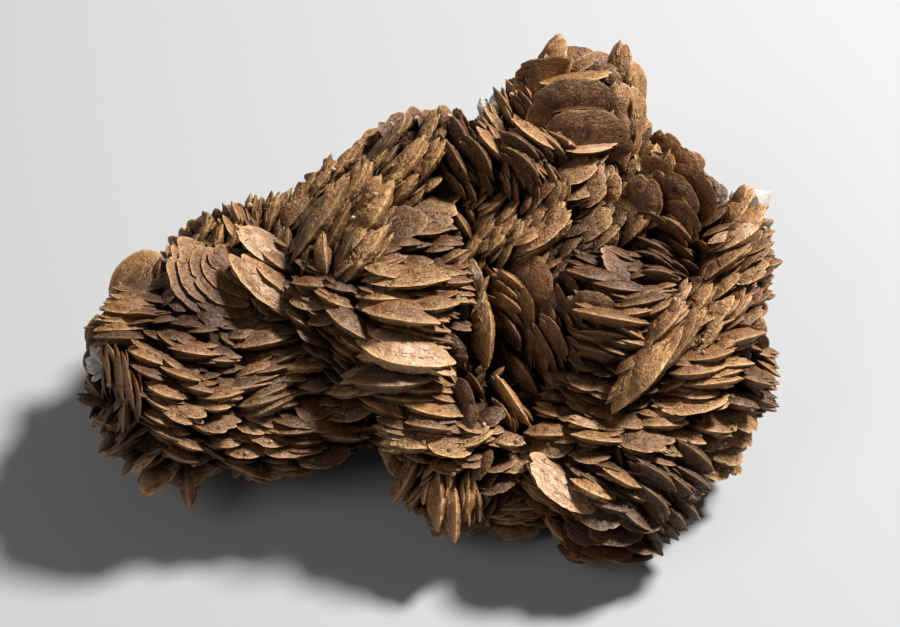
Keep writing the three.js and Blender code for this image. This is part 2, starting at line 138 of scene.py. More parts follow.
class Shade:
    """One socket in a material's nodes. Sums, products and powers of it add the Math nodes that they need."""

    def __init__(self, tree, socket=None):
        self.tree = tree
        self.socket = socket

    def node(self, kind, settings, inputs, output=0):
        """Adds a node, first its settings, then the values or links of its inputs, and gives one output."""
        made = self.tree.nodes.new(kind)
        for name, value in settings.items():
            setattr(made, name, value)
        for name, value in inputs.items():
            if isinstance(value, Shade):
                self.tree.links.new(value.socket, made.inputs[name])
            else:
                made.inputs[name].default_value = value
        return Shade(self.tree, made.outputs[output])

    def maths(self, operation, *terms, clamp=False):
        settings = {"operation": operation, "use_clamp": clamp}
        return self.node("ShaderNodeMath", settings, dict(enumerate(terms)))

    def __add__(self, other):
        return self.maths("ADD", self, other)

    def __sub__(self, other):
        return self.maths("SUBTRACT", self, other)

    def __rsub__(self, other):
        return self.maths("SUBTRACT", other, self)

    def __mul__(self, other):
        return self.maths("MULTIPLY", self, other)

    def __pow__(self, other):
        return self.maths("POWER", self, other)

    __radd__ = __add__
    __rmul__ = __mul__

    def held(self):
        """The value, held between 0 and 1."""
        return self.maths("ADD", self, 0.0, clamp=True)

    def spread(self, low, high):
        """0 where the value is low, 1 where it is high, and even between them."""
        inputs = {"Value": self, "From Min": low, "From Max": high}
        return self.node("ShaderNodeMapRange", {"interpolation_type": "SMOOTHSTEP"}, inputs)

    def value(self, name, output="Fac"):
        """A value that the mesh carries for this finish."""
        return self.node("ShaderNodeAttribute", {"attribute_name": name}, {}, output)

    def noise(self, place, size, detail=2.0, roughness=0.55, twist=0.0):
        """Cloudy noise of one size in metres."""
        inputs = {
            "Vector": place,
            "Scale": 1 / size,
            "Detail": detail,
            "Roughness": roughness,
            "Distortion": twist,
        }
        return self.node("ShaderNodeTexNoise", {}, inputs, "Fac")

    def grains(self, place, size, output="Distance"):
        """Cells of one size in metres, such as the grains of a sugary crust."""
        return self.node("ShaderNodeTexVoronoi", {}, {"Vector": place, "Scale": 1 / size}, output)

    def part(self, axis):
        """One of a vector's three numbers."""
        return self.node("ShaderNodeSeparateXYZ", {}, {0: self}, axis)

    def facets(self, cells, amount):
        """The surface's normal, tilted another way in every cell, as the small faces of sugary grains are."""
        off = self.node("ShaderNodeVectorMath", {"operation": "SUBTRACT"}, {0: cells, 1: (0.5, 0.5, 0.5)})
        off = self.node("ShaderNodeVectorMath", {"operation": "SCALE"}, {0: off, "Scale": amount})
        straight = self.node("ShaderNodeNewGeometry", {}, {}, "Normal")
        tilted = self.node("ShaderNodeVectorMath", {"operation": "ADD"}, {0: straight, 1: off})
        return self.node("ShaderNodeVectorMath", {"operation": "NORMALIZE"}, {0: tilted})

    def colour(self, share, first, second):
        """A colour that goes from the first to the second one."""
        return self.node("ShaderNodeMix", {"data_type": "RGBA"}, {0: share, 6: first, 7: second}, 2)

    def bump(self, height, depth, under=None):
        """Relief of one depth in metres, laid over the relief under it."""
        inputs = {"Height": height, "Distance": depth}
        if under:
            inputs["Normal"] = under
        return self.node("ShaderNodeBump", {}, inputs, "Normal")


def new_finish(name):
    """An empty material, its main shader, the nodes to build on and the places on the object."""
    material = bpy.data.materials.new(name)
    material.use_nodes = True
    shader = material.node_tree.nodes["Principled BSDF"]
    shade = Shade(material.node_tree)
    return material, shader, shade, shade.node("ShaderNodeTexCoord", {}, {}, "Object")


def link(shader, **sockets):
    """Links shades to a shader's sockets; a word such as Base_Color names the socket Base Color."""
    for name, shade in sockets.items():
        shade.tree.links.new(shade.socket, shader.inputs[name.replace("_", " ")])


root_finish, shader, shade, place = new_finish("massive siderite")
mottle = shade.noise(place, 0.004, 4)
crumbs = shade.grains(place, 0.0007)
# Painted shade: both rock colours are kept very dark, as the bare root lies in the shade of deep hollows.
rock = shade.colour(mottle.spread(0.35, 0.65), (0.012, 0.005, 0.002, 1), (0.036, 0.014, 0.005, 1))
rock = shade.colour(crumbs.spread(0.4, 0.75) * 0.4, rock, (0.075, 0.032, 0.012, 1))
link(
    shader,
    Base_Color=rock,
    Roughness=0.62 + 0.25 * shade.noise(place, 0.0009),
    Normal=shade.bump(crumbs + shade.noise(place, 0.0012, 4), 0.0004),
)
shader.inputs["Specular IOR Level"].default_value = 0.2

ball = bpy.data.meshes.new("lobe ball")
shape = bmesh.new()
bmesh.ops.create_icosphere(shape, subdivisions=4, radius=1)
shape.to_mesh(ball)
shape.free()
ball_points = np.empty(len(ball.vertices) * 3)
ball.vertices.foreach_get("co", ball_points)
ball_points = ball_points.reshape(-1, 3)
ball_faces = np.empty(len(ball.polygons) * 3, dtype=int)
ball.polygons.foreach_get("vertices", ball_faces)
ball_faces = ball_faces.reshape(-1, 3)
rough = bpy.data.meshes.new("rough root")
rough_points = np.concatenate([at + ball_points * size * ROOT_SHARE for at, size in zip(LOBE_AT, LOBE_SIZE)])
rough_faces = np.concatenate([ball_faces + k * len(ball_points) for k in range(len(LOBE_AT))])
rough.from_pydata((rough_points * MM).tolist(), [], rough_faces.tolist())
former = bpy.data.objects.new("root former", rough)
bpy.context.scene.collection.objects.link(former)
fuse = former.modifiers.new("fuse the lobes", "REMESH")
fuse.mode = "VOXEL"
fuse.voxel_size = ROOT_GRAIN * MM
fused = bpy.data.meshes.new_from_object(former.evaluated_get(bpy.context.evaluated_depsgraph_get()))
bpy.data.objects.remove(former)
root_points = np.empty(len(fused.vertices) * 3)
root_normals = np.empty(len(fused.vertices) * 3)
fused.vertices.foreach_get("co", root_points)
fused.vertices.foreach_get("normal", root_normals)
root_points = root_points.reshape(-1, 3) / MM
root_normals = root_normals.reshape(-1, 3)
root_faces = np.array([list(face.vertices) for face in fused.polygons])
relief = sum(height * lumps(root_points, size, seed) for seed, (size, height) in enumerate(ROOT_RELIEF, 1))
root_points = root_points + root_normals * (relief - ROOT_WEAR)[:, None]
root_points[:, 2] = np.maximum(root_points[:, 2], 0)
put_up("massive_root", root_points, [root_faces], {}, root_finish, "siderite", "siderite")

# West arm: lenses of siderite, sharp all round, which grew out of the root in books and fans and split at
# their tips. Two shells make a dome at the end over a ladder of level blades, nests of shells and pale
# tiles lie behind it, and fans of leaves run down to the lower corner. The nests have brown skins as
# painted shade inside them.
SHOW_LIFT = math.radians(50)  # how far the show face looks up from level
ACROSS = np.array([1.0, 0.0, 0.0])
UP = np.array([0.0, math.sin(SHOW_LIFT), math.cos(SHOW_LIFT)])
OUT = np.array([0.0, -math.cos(SHOW_LIFT), math.sin(SHOW_LIFT)])
SHOW_MIDDLE = np.array([0.0, 0.0, 25.0])
SHOW_DISTANCE = 360  # where it is seen from
LENS_DEPTH = 0.72  # how far a crystal reaches from its long edge, of half its length
CHIEF_HOLD = 0.72  # how much of that is out of the root on a chief crystal
FAN_HOLD = 0.56  # and on one in a fan
OPEN_RISE = 0.35  # how far an open one lies above its place, of half its length
FOOT = 0.45  # the least that a crystal stands off the root
STAND_SHARE = 0.42  # how much of a lobe's size the outermost edges stand off it
SINKING = np.arange(0, 10, 0.25)[:, None]  # the depths that are tried when one is sunk into the root

# How sugary, glossy, warm, light and slaty the skin of a crystal is.
SKINS = {
    "plain": (0.45, 0.30, 0.25, 0.50, 0.10),
    "brown": (0.35, 0.28, 0.30, 0.25, 0.05),
    "sandy": (0.60, 0.20, 0.12, 0.90, 0.00),
    "sugary": (1.00, 0.25, 0.10, 0.80, 0.00),
    "amber": (0.22, 0.45, 0.80, 0.42, 0.00),
    "ember": (0.20, 0.45, 1.00, 0.00, 0.15),
    "slaty": (0.45, 0.50, 0.10, 0.40, 0.80),
    "pearly": (0.20, 0.72, 0.35, 0.95, 0.20),
    "dark": (0.40, 0.35, 0.40, 0.05, 0.15),
    "olive": (0.30, 0.12, 0.05, 0.36, 0.05),
    "umber": (0.35, 0.20, 0.20, 0.06, 0.70),
}

# How a crystal is built: half its thickness, how pointed and how deep it is, and how many crystals split
# off it. A nest is a shell with ever smaller ones on it.
HABITS = {
    "shell": (0.11, 0.10, 0.86, 1),
    "leaf": (0.25, 0.55, 0.72, 3),
    "book": (0.21, 0.50, 0.74, 1),
    "blade": (0.20, 0.65, 0.58, 2),
    "spindle": (0.26, 0.60, 0.60, 0),
    "scale": (0.17, 0.20, 0.80, 1),
    "slab": (0.10, -0.20, 0.76, 1),
    "horn": (0.24, 0.45, 0.68, 0),
    "ledge": (0.12, 0.30, 0.70, 0),
    "tile": (0.13, 0.40, 0.60, 3),
    "nest": (0.09, 0.10, 0.86, 0),
}

# How much smaller than its fan a crystal is at the least and at the most, how far it slides aside, and its
# pitch.
FAN_SIZES = {"book": (0.36, 0.84, 0.55, 1.15), "scale": (0.36, 0.68, 0.6, 0.85)}


def unit(vector):
    return vector / np.linalg.norm(vector)


def turned(vector, axis, degrees):
    """A vector turned about an axis of length 1."""
    turn = math.radians(degrees)
    along = axis * (axis @ vector) * (1 - math.cos(turn))
    return vector * math.cos(turn) + np.cross(axis, vector) * math.sin(turn) + along


def place_on_face(across, up):
    """Where a line of sight on the show face meets the crystals' level, the line, and whether it does."""
    start = SHOW_MIDDLE + across * ACROSS + up * UP
    sight = OUT - across / SHOW_DISTANCE * ACROSS - up / SHOW_DISTANCE * UP
    origin = (start - LOBE_AT) / LOBE_SIZE
    along = sight / LOBE_SIZE
    square = (along**2).sum(axis=1)
    nearest = -(origin * along).sum(axis=1) / square
    miss = np.linalg.norm(origin + nearest[:, None] * along, axis=1)
    met = miss < 1
    if met.any():
        far = (nearest[met] + np.sqrt((1 - miss[met] ** 2) / square[met])).max()
    else:
        far = nearest[miss.argmin()]
    return start + far * sight, sight, met.any()


def settle(place, sight, normal, radius, hold):
    """Sinks a crystal along a line until its inner edge is in the root, or draws it to the nearest lobe."""
    places = place - SINKING * sight
    offset = places[:, None] - LOBE_AT
    distance = np.linalg.norm(offset, axis=2)
    gap = distance * (1 - ROOT_SHARE / np.linalg.norm(offset / LOBE_SIZE, axis=2))
    near = gap.argmin(axis=1)
    outward = np.take_along_axis(offset / LOBE_SIZE**2, near[:, None, None], axis=1)[:, 0]
    outward /= np.linalg.norm(outward, axis=1)[:, None]
    room = hold * radius * LENS_DEPTH * np.sqrt(np.maximum(1 - (outward @ normal) ** 2, 0)) + FOOT
    excess = gap.min(axis=1) - room
    if (excess <= 0).any():
        return places[(excess <= 0).argmax()]
    step = excess.argmin()
    lobe = near[step]
    return places[step] - offset[step, lobe] / distance[step, lobe] * excess[step]


def facing(heading, opening):
    """The edge and the normal of a crystal on the show face."""
    turn = math.radians(heading)
    lift = math.radians(opening)
    edge = math.cos(turn) * ACROSS + math.sin(turn) * UP
    normal = math.cos(lift) * (math.cos(turn) * UP - math.sin(turn) * ACROSS) + math.sin(lift) * OUT
    return edge, normal


def ring_faces(rings, sides):
    """The quads between rings of points, and the triangles to the two end points that follow them."""
    first = np.arange(rings - 1)[:, None] * sides
    here = np.arange(sides)
    after = (here + 1) % sides
    quads = np.stack([first + here, first + sides + here, first + sides + after, first + after], axis=2)
    last = (rings - 1) * sides
    top = np.full(sides, rings * sides)
    threes = [np.stack([top, here, after], axis=1), np.stack([top + 1, last + after, last + here], axis=1)]
    return quads.reshape(-1, 4), np.concatenate(threes)


# The outline of a crystal: how long its sides are and how many it has at the most, on a fine one and on a
# plain one, the waves round it and their height, and how many of its tips have a notch.
FINE_SIDES = (0.85, 42)
PLAIN_SIDES = (1.05, 26)
FEWEST_SIDES = 12
OUTLINE_WAVES = ((2, 0.04), (3, 0.05), (5, 0.035), (8, 0.02))
NOTCHED = 0.6
FINE_FROM = 2.9  # crystals with a half length above this are fine ones
FINE_SPLIT = 2.4  # and of those split off them, these
THINNEST = 0.12  # half the thickness of the smallest crystal
SHARP_EDGE = math.radians(42)
NEST_SHELLS = 4  # how many shells lie on the first of a nest


def stand_of(places):
    """How far places stand out of the root: 0 on it, and 1 at the outermost crystal edges."""
    share = np.full(len(places), 9.0)
    for at, size in zip(LOBE_AT, LOBE_SIZE):
        share = np.minimum(share, np.linalg.norm((places - at) / size, axis=1))
    return np.clip((share - ROOT_SHARE) / STAND_SHARE, 0, 1)


class Bed:
    """The crystals of one piece: their points and faces, and the values that their finish reads."""

    def __init__(self):
        self.points = []
        self.quads = []
        self.threes = []
        self.values = []
        self.total = 0

    def add(self, points, quads, threes, rim, skin, lay, tone):
        """Adds one crystal, whose faces count its own points from 0."""
        self.points.append(points)
        self.quads.append(quads + self.total)
        self.threes.append(threes + self.total)
        amounts = np.tile([tone, *skin], (len(points), 1))
        self.values.append(np.column_stack([rim, amounts, lay]))
        self.total += len(points)

    def crystal(self, middle, normal, edge, radius, habit, skin, dice, fine):
        """One lens: sharp all round, with a growth step on each face, chips in its edge and a slight bend."""
        thick, point, depth, _ = HABITS[habit]
        swell = radius * thick * dice.uniform(0.88, 1.14) + THINNEST
        inward = unit(np.cross(normal, edge))
        along = np.cross(inward, normal)
        facet, most = FINE_SIDES if fine else PLAIN_SIDES
        sides = int(np.clip(2 * math.pi * radius / facet, FEWEST_SIDES, most))

        # The outline: fewer sides on the inner edge, waves all round, chips, and a notch beside some tips.
        inner = sides // 3
        angle = np.concatenate([
            np.linspace(0, math.pi, inner, endpoint=False),
            np.linspace(math.pi, 2 * math.pi, sides - inner, endpoint=False),
        ])
        outline = np.ones(sides)
        for waves, height in OUTLINE_WAVES:
            outline += dice.uniform(-height, height) * np.cos(waves * angle + dice.uniform(0, 6.28))
        for _ in range(dice.integers(1, 5)):
            away = np.abs((angle - dice.uniform(0, 6.28) + math.pi) % (2 * math.pi) - math.pi)
            outline -= dice.uniform(0.04, 0.14) * np.exp(-((away / dice.uniform(0.06, 0.16)) ** 2))
        for tip in (math.pi, 2 * math.pi):
            if dice.uniform() < NOTCHED:
                notch = tip + math.copysign(dice.uniform(0.2, 0.6), 4 - tip)
                outline -= dice.uniform(0.1, 0.26) * np.exp(-(((angle - notch) / 0.11) ** 2))
        outline += dice.uniform(-0.02, 0.02, sides)

        # The two faces: rings that rise from the rim, the inner ones by a growth step more on a fine crystal.
        depth = depth * dice.uniform(0.93, 1.07)
        bend = dice.uniform(-0.07, 0.07) / radius
        cup = dice.uniform(-0.05, 0.09) / radius
        step = dice.uniform(0.58, 0.8) + 0.06 * np.cos(2 * angle + dice.uniform(0, 6.28))
        rings = [0.42, step - 0.02, step + 0.03, 0.92] if fine else [0.45, 0.82]
        layers = []
        for side in (1, -1):
            lift = dice.uniform(0.8, 1.2) * swell
            terrace = dice.uniform(0.05, 0.16) * lift * fine
            face = []
            for order, share in enumerate(rings):
                share = share + dice.uniform(-0.025, 0.025, sides)
                height = lift * (1 - share**2) ** 0.9 + terrace * (order < 2)
                height = height + dice.uniform(-0.11, 0.11, sides) * lift * (0.4 + 1.2 * skin[0])
                face.append((share, side * height))
            layers.append(face)
        order = layers[0] + [(np.ones(sides), np.zeros(sides))] + layers[1][::-1]
        rim = np.concatenate([layer[0] for layer in order] + [[0, 0]])
        height = np.concatenate([layer[1] for layer in order] + [[swell, -swell]])

        # The points: drawn in towards the tips, and a little bent along and across.
        turn = np.concatenate([np.tile(angle, len(order)), [0, 0]])
        far = rim * np.concatenate([np.tile(outline, len(order)), [1, 1]]) * radius
        x = far * np.cos(turn)
        y = far * np.sin(turn) * np.abs(np.sin(turn)) ** point * depth
        z = height + bend * x * x + cup * y * y
        points = middle + x[:, None] * along + y[:, None] * inward + z[:, None] * normal
        tone = dice.uniform(0, 1)
        lay = np.stack([x + 37 * tone, y + 11 * tone, z * 3], axis=1)
        quads, threes = ring_faces(len(order), sides)
        self.add(points, quads, threes, rim, skin, lay, tone)

    def put_up(self, name, material, slot, *nodes):
        """Puts the crystals up as one piece, with what would reach below the rest face pressed flat on it."""
        points = np.concatenate(self.points)
        points[:, 2] = np.maximum(points[:, 2], 0)
        kept = np.concatenate(self.values)
        labels = ("rim", "tone", "sugar", "gloss", "warmth", "light", "slate")
        values = {label: kept[:, column] for column, label in enumerate(labels)}
        values["lay"] = kept[:, len(labels):] * MM
        values["stand"] = stand_of(points)
        faces = [np.concatenate(self.quads), np.concatenate(self.threes)]
        piece = put_up(name, points, faces, values, material, slot, *nodes)
        piece.data.set_sharp_from_angle(angle=SHARP_EDGE)


def skin_of(name, dice):
    """The amounts of a skin, each a little more or less."""
    return [min(max(amount + dice.uniform(-0.1, 0.1), 0), 1) for amount in SKINS[name]]


def grow(bed, middle, normal, edge, radius, habit, skin, dice, splits, fine=False):
    """A crystal with the smaller ones that split off its tips."""
    bed.crystal(middle, normal, edge, radius, habit, skin, dice, fine)
    swell = HABITS[habit][0] * radius
    inward = unit(np.cross(normal, edge))
    for layer in range(1, NEST_SHELLS + 1 if habit == "nest" else 1):
        at = middle + normal * 0.95 * layer + inward * 0.9 * layer + edge * dice.uniform(-0.7, 0.7)
        small = radius * (1 - 0.13 * layer)
        new_normal = turned(normal, edge, dice.uniform(-4, 4))
        bed.crystal(at, new_normal, edge, small, habit, skin, dice, fine)
    for split in range(splits):
        end = 1 if (split + dice.integers(0, 2)) % 2 else -1
        over = 1 if dice.uniform() < 0.5 else -1
        small = radius * dice.uniform(0.36, 0.6)
        at = middle + edge * end * radius * dice.uniform(0.3, 0.56)
        at = at + normal * over * swell * dice.uniform(0.4, 1)
        new_normal = turned(normal, inward, -end * over * dice.uniform(5, 18))
        new_edge = unit(edge - new_normal * (edge @ new_normal))
        bed.crystal(at, new_normal, new_edge, small, habit, skin, dice, fine and small > FINE_SPLIT)


# The finish of the crystals: golden brown with a sugary crust, darker down at the root by painted shade over
# a darker colour, and with a painted highlight on thin rims.
crystal_finish, shader, shade, place = new_finish("lenticular siderite")
lay = shade.value("lay", "Vector")
rim = shade.value("rim")
tone = shade.value("tone")
sugar = shade.value("sugar")
gloss = shade.value("gloss")
warmth = shade.value("warmth")
light = shade.value("light")
slate = shade.value("slate")
stand = shade.value("stand")
clouds = shade.noise(place, 0.0045, 3)
patches = shade.noise(place, 0.0018, 3)
fine = shade.noise(place, 0.00035, 3, 0.7)
crumbs = shade.noise(place, 0.0008, 3, 0.65)
grain = shade.grains(place, 0.00024, output="Color")
glitter = grain.part(0)
pits = shade.grains(place, 0.0010)
stretched = shade.node("ShaderNodeVectorMath", {"operation": "MULTIPLY"}, {0: lay, 1: (0.20, 1.5, 1.0)})
streaks = shade.noise(stretched, 0.0005, 3, 0.6)
drawn = shade.node("ShaderNodeVectorMath", {"operation": "MULTIPLY"}, {0: lay, 1: (0.30, 1.3, 1.0)})
cracks = shade.maths("ABSOLUTE", shade.noise(drawn, 0.0019, 2, 0.5, 0.4) - 0.5).spread(0.018, 0.004)
cracks = cracks * patches.spread(0.44, 0.54)
steps = shade.maths("SINE", rim * 42 + 26 * patches) * rim.spread(0.35, 0.8)

# The body: dark to golden by how light the skin is, then reddened, given a painted grey-violet sheen where
# the skin is slaty, streaked and bruised.
lustre = (0.46 * light + 0.26 * tone + 1.1 * (clouds - 0.5) + 0.7 * (patches - 0.5) + 0.04).held()
gold = shade.colour(sugar * patches.spread(0.35, 0.60), (0.385, 0.181, 0.058, 1), (0.385, 0.226, 0.094, 1))
body = shade.colour(lustre, (0.080, 0.0235, 0.0060, 1), gold)
red = shade.colour(light, (0.070, 0.018, 0.006, 1), (0.36, 0.125, 0.034, 1))
body = shade.colour(warmth * patches.spread(0.3, 0.65) * 0.75, body, red)
# Painted sheen: slaty skins turn grey-violet in patches, the bluish sheen of glossy faces.
painted_sheen_grey = shade.colour(light, (0.016, 0.010, 0.008, 1), (0.105, 0.080, 0.070, 1))
body = shade.colour(slate * (0.35 + 0.6 * clouds.spread(0.40, 0.56)), body, painted_sheen_grey)
# Dark skins darken further. On the ember leaves of the east hollow and the umber pile of the south-east this
# is painted shade.
body = shade.colour((1 - light) ** 3 * 0.65, body, (0.029, 0.0105, 0.004, 1))
body = shade.colour(streaks.spread(0.53, 0.68) * (1 - 0.8 * sugar) * 0.4, body, (0.043, 0.0145, 0.004, 1))
bruise = clouds.spread(0.52, 0.62) * (1 - rim.spread(0.55, 0.95)) * 0.4
body = shade.colour(bruise, body, (0.048, 0.0165, 0.005, 1))

# On it the sugary grains: dark ones, and pale specks that paint the glints of their small faces.
# Painted shade darkens the pits between them, a painted pearly sheen pales glossy skins, and then come
# the cracks. Thin rims get a painted highlight, and everything darkens down at the root, by painted shade
# over a darker colour.
# Painted glints: pale specks on sugary grains, where their small faces would catch the light.
body = shade.colour((0.1 + 0.6 * sugar) * glitter.spread(0.55, 1.0) * 0.42, body, (0.64, 0.395, 0.175, 1))
body = shade.colour((0.1 + 0.6 * sugar) * glitter.spread(0.40, 0.0) * 0.42, body, (0.035, 0.014, 0.004, 1))
body = shade.colour(sugar * fine.spread(0.5, 0.36) * 0.25, body, (0.035, 0.015, 0.006, 1))
# Painted shade in the pits between the grains.
painted_pit_shade = sugar * pits.spread(0.26, 0.10) * crumbs.spread(0.45, 0.6) * 0.6
body = shade.colour(painted_pit_shade, body, (0.020, 0.008, 0.003, 1))
# Painted pearly sheen: glossy skins are paled in patches, as a sheen of light would pale them.
painted_pearl_sheen = gloss.spread(0.58, 0.70) * (0.2 + 0.38 * patches.spread(0.40, 0.64))
body = shade.colour(painted_pearl_sheen, body, (0.60, 0.42, 0.285, 1))
body = shade.colour(cracks * 0.8, body, (0.016, 0.006, 0.003, 1))
# Painted highlight: a pale line along thin rims, where an edge catches the light and glows through.
body = shade.colour(rim**14 * patches.spread(0.22, 0.5) * (0.22 + 0.8 * light), body, (0.62, 0.38, 0.185, 1))
# Painted shade towards the root, in the crevices between the crystals, over the darker colour of iron oxide.
body = shade.colour((1 - stand.spread(-0.02, 0.72)) * 0.92, body, (0.019, 0.005, 0.0012, 1))

relief = shade.facets(grain, 0.08 + 0.30 * sugar)
relief = shade.bump(crumbs * (0.4 + 0.8 * sugar) + 0.5 * patches + 0.05 * steps, 0.00038, relief)
relief = shade.bump(streaks * 0.5 * (1 - 0.8 * sugar) + fine * (0.3 + 0.7 * sugar), 0.00014, relief)
relief = shade.bump(pits.spread(0.06, 0.26) * sugar - 1.2 * cracks, 0.00020, relief)
link(
    shader,
    Base_Color=body,
    Roughness=(0.66 - 0.36 * gloss + 0.26 * (fine - 0.5) - 0.18 * glitter.spread(0.8, 1.0)).held(),
    Normal=relief,
)
shader.inputs["Specular IOR Level"].default_value = 0.42
shader.inputs["Subsurface Weight"].default_value = 0.05
shader.inputs["Subsurface Radius"].default_value = (0.0012, 0.0005, 0.0002)
shader.inputs["Subsurface Scale"].default_value = 1.0

beds = []  # every bed of crystals so far
rows = []  # and every fan


def raise_crystals(name, chiefs, fans, seeds):
    """One piece of the show face, with its chief crystals and the fans around them.

    A chief crystal is given by its place across and up the face, the heading of its long edge, its opening (0
    is edge-on, 90 flat), its half length, skin and habit. A fan goes from one place to another, and its
    heading, opening and radius change on the way. The seeds are those of the first chief crystal and of the
    first in a fan.
    """
    bed = Bed()
    for seed, (across, up, heading, opening, half, skin, habit) in enumerate(chiefs, seeds[0]):
        dice = np.random.default_rng(seed)
        edge, normal = facing(heading + dice.uniform(-3, 3), opening + dice.uniform(-3, 3))
        rise = OPEN_RISE * half * math.sin(math.radians(opening))
        across -= rise * math.sin(math.radians(heading))
        up += rise * math.cos(math.radians(heading))
        middle = settle(*place_on_face(across, up)[:2], normal, half, CHIEF_HOLD)
        splits = HABITS[habit][3]
        grow(bed, middle, normal, edge, half, habit, skin_of(skin, dice), dice, splits, half > FINE_FROM)
    seed = seeds[1]
    for start, end, heading, opening, radius, skin, habit in fans:
        least, most, slide, pitch = FAN_SIZES[habit]
        count = round(math.dist(start, end) / pitch) + 2
        for plate in range(count):
            dice = np.random.default_rng(seed)
            seed += 1
            share = (plate + dice.uniform(0, 1)) / count
            size = radius[0] + (radius[1] - radius[0]) * share
            turn = heading[0] + (heading[1] - heading[0]) * share
            edge, normal = facing(
                turn + dice.uniform(-11, 11),
                opening[0] + (opening[1] - opening[0]) * share + dice.uniform(-9, 9),
            )
            aside = size * slide * dice.uniform(-1, 1)
            across = start[0] + (end[0] - start[0]) * share + aside * math.cos(math.radians(turn))
            up = start[1] + (end[1] - start[1]) * share + aside * math.sin(math.radians(turn))
            size *= dice.uniform(least, most)
            middle = settle(*place_on_face(across, up)[:2], normal, size, FAN_HOLD)
            grow(bed, middle, normal, edge, size, habit, skin_of(skin, dice), dice, 1)
    bed.put_up(name, crystal_finish, "siderite", "siderite")
    beds.append(bed)
    rows.extend(fans)


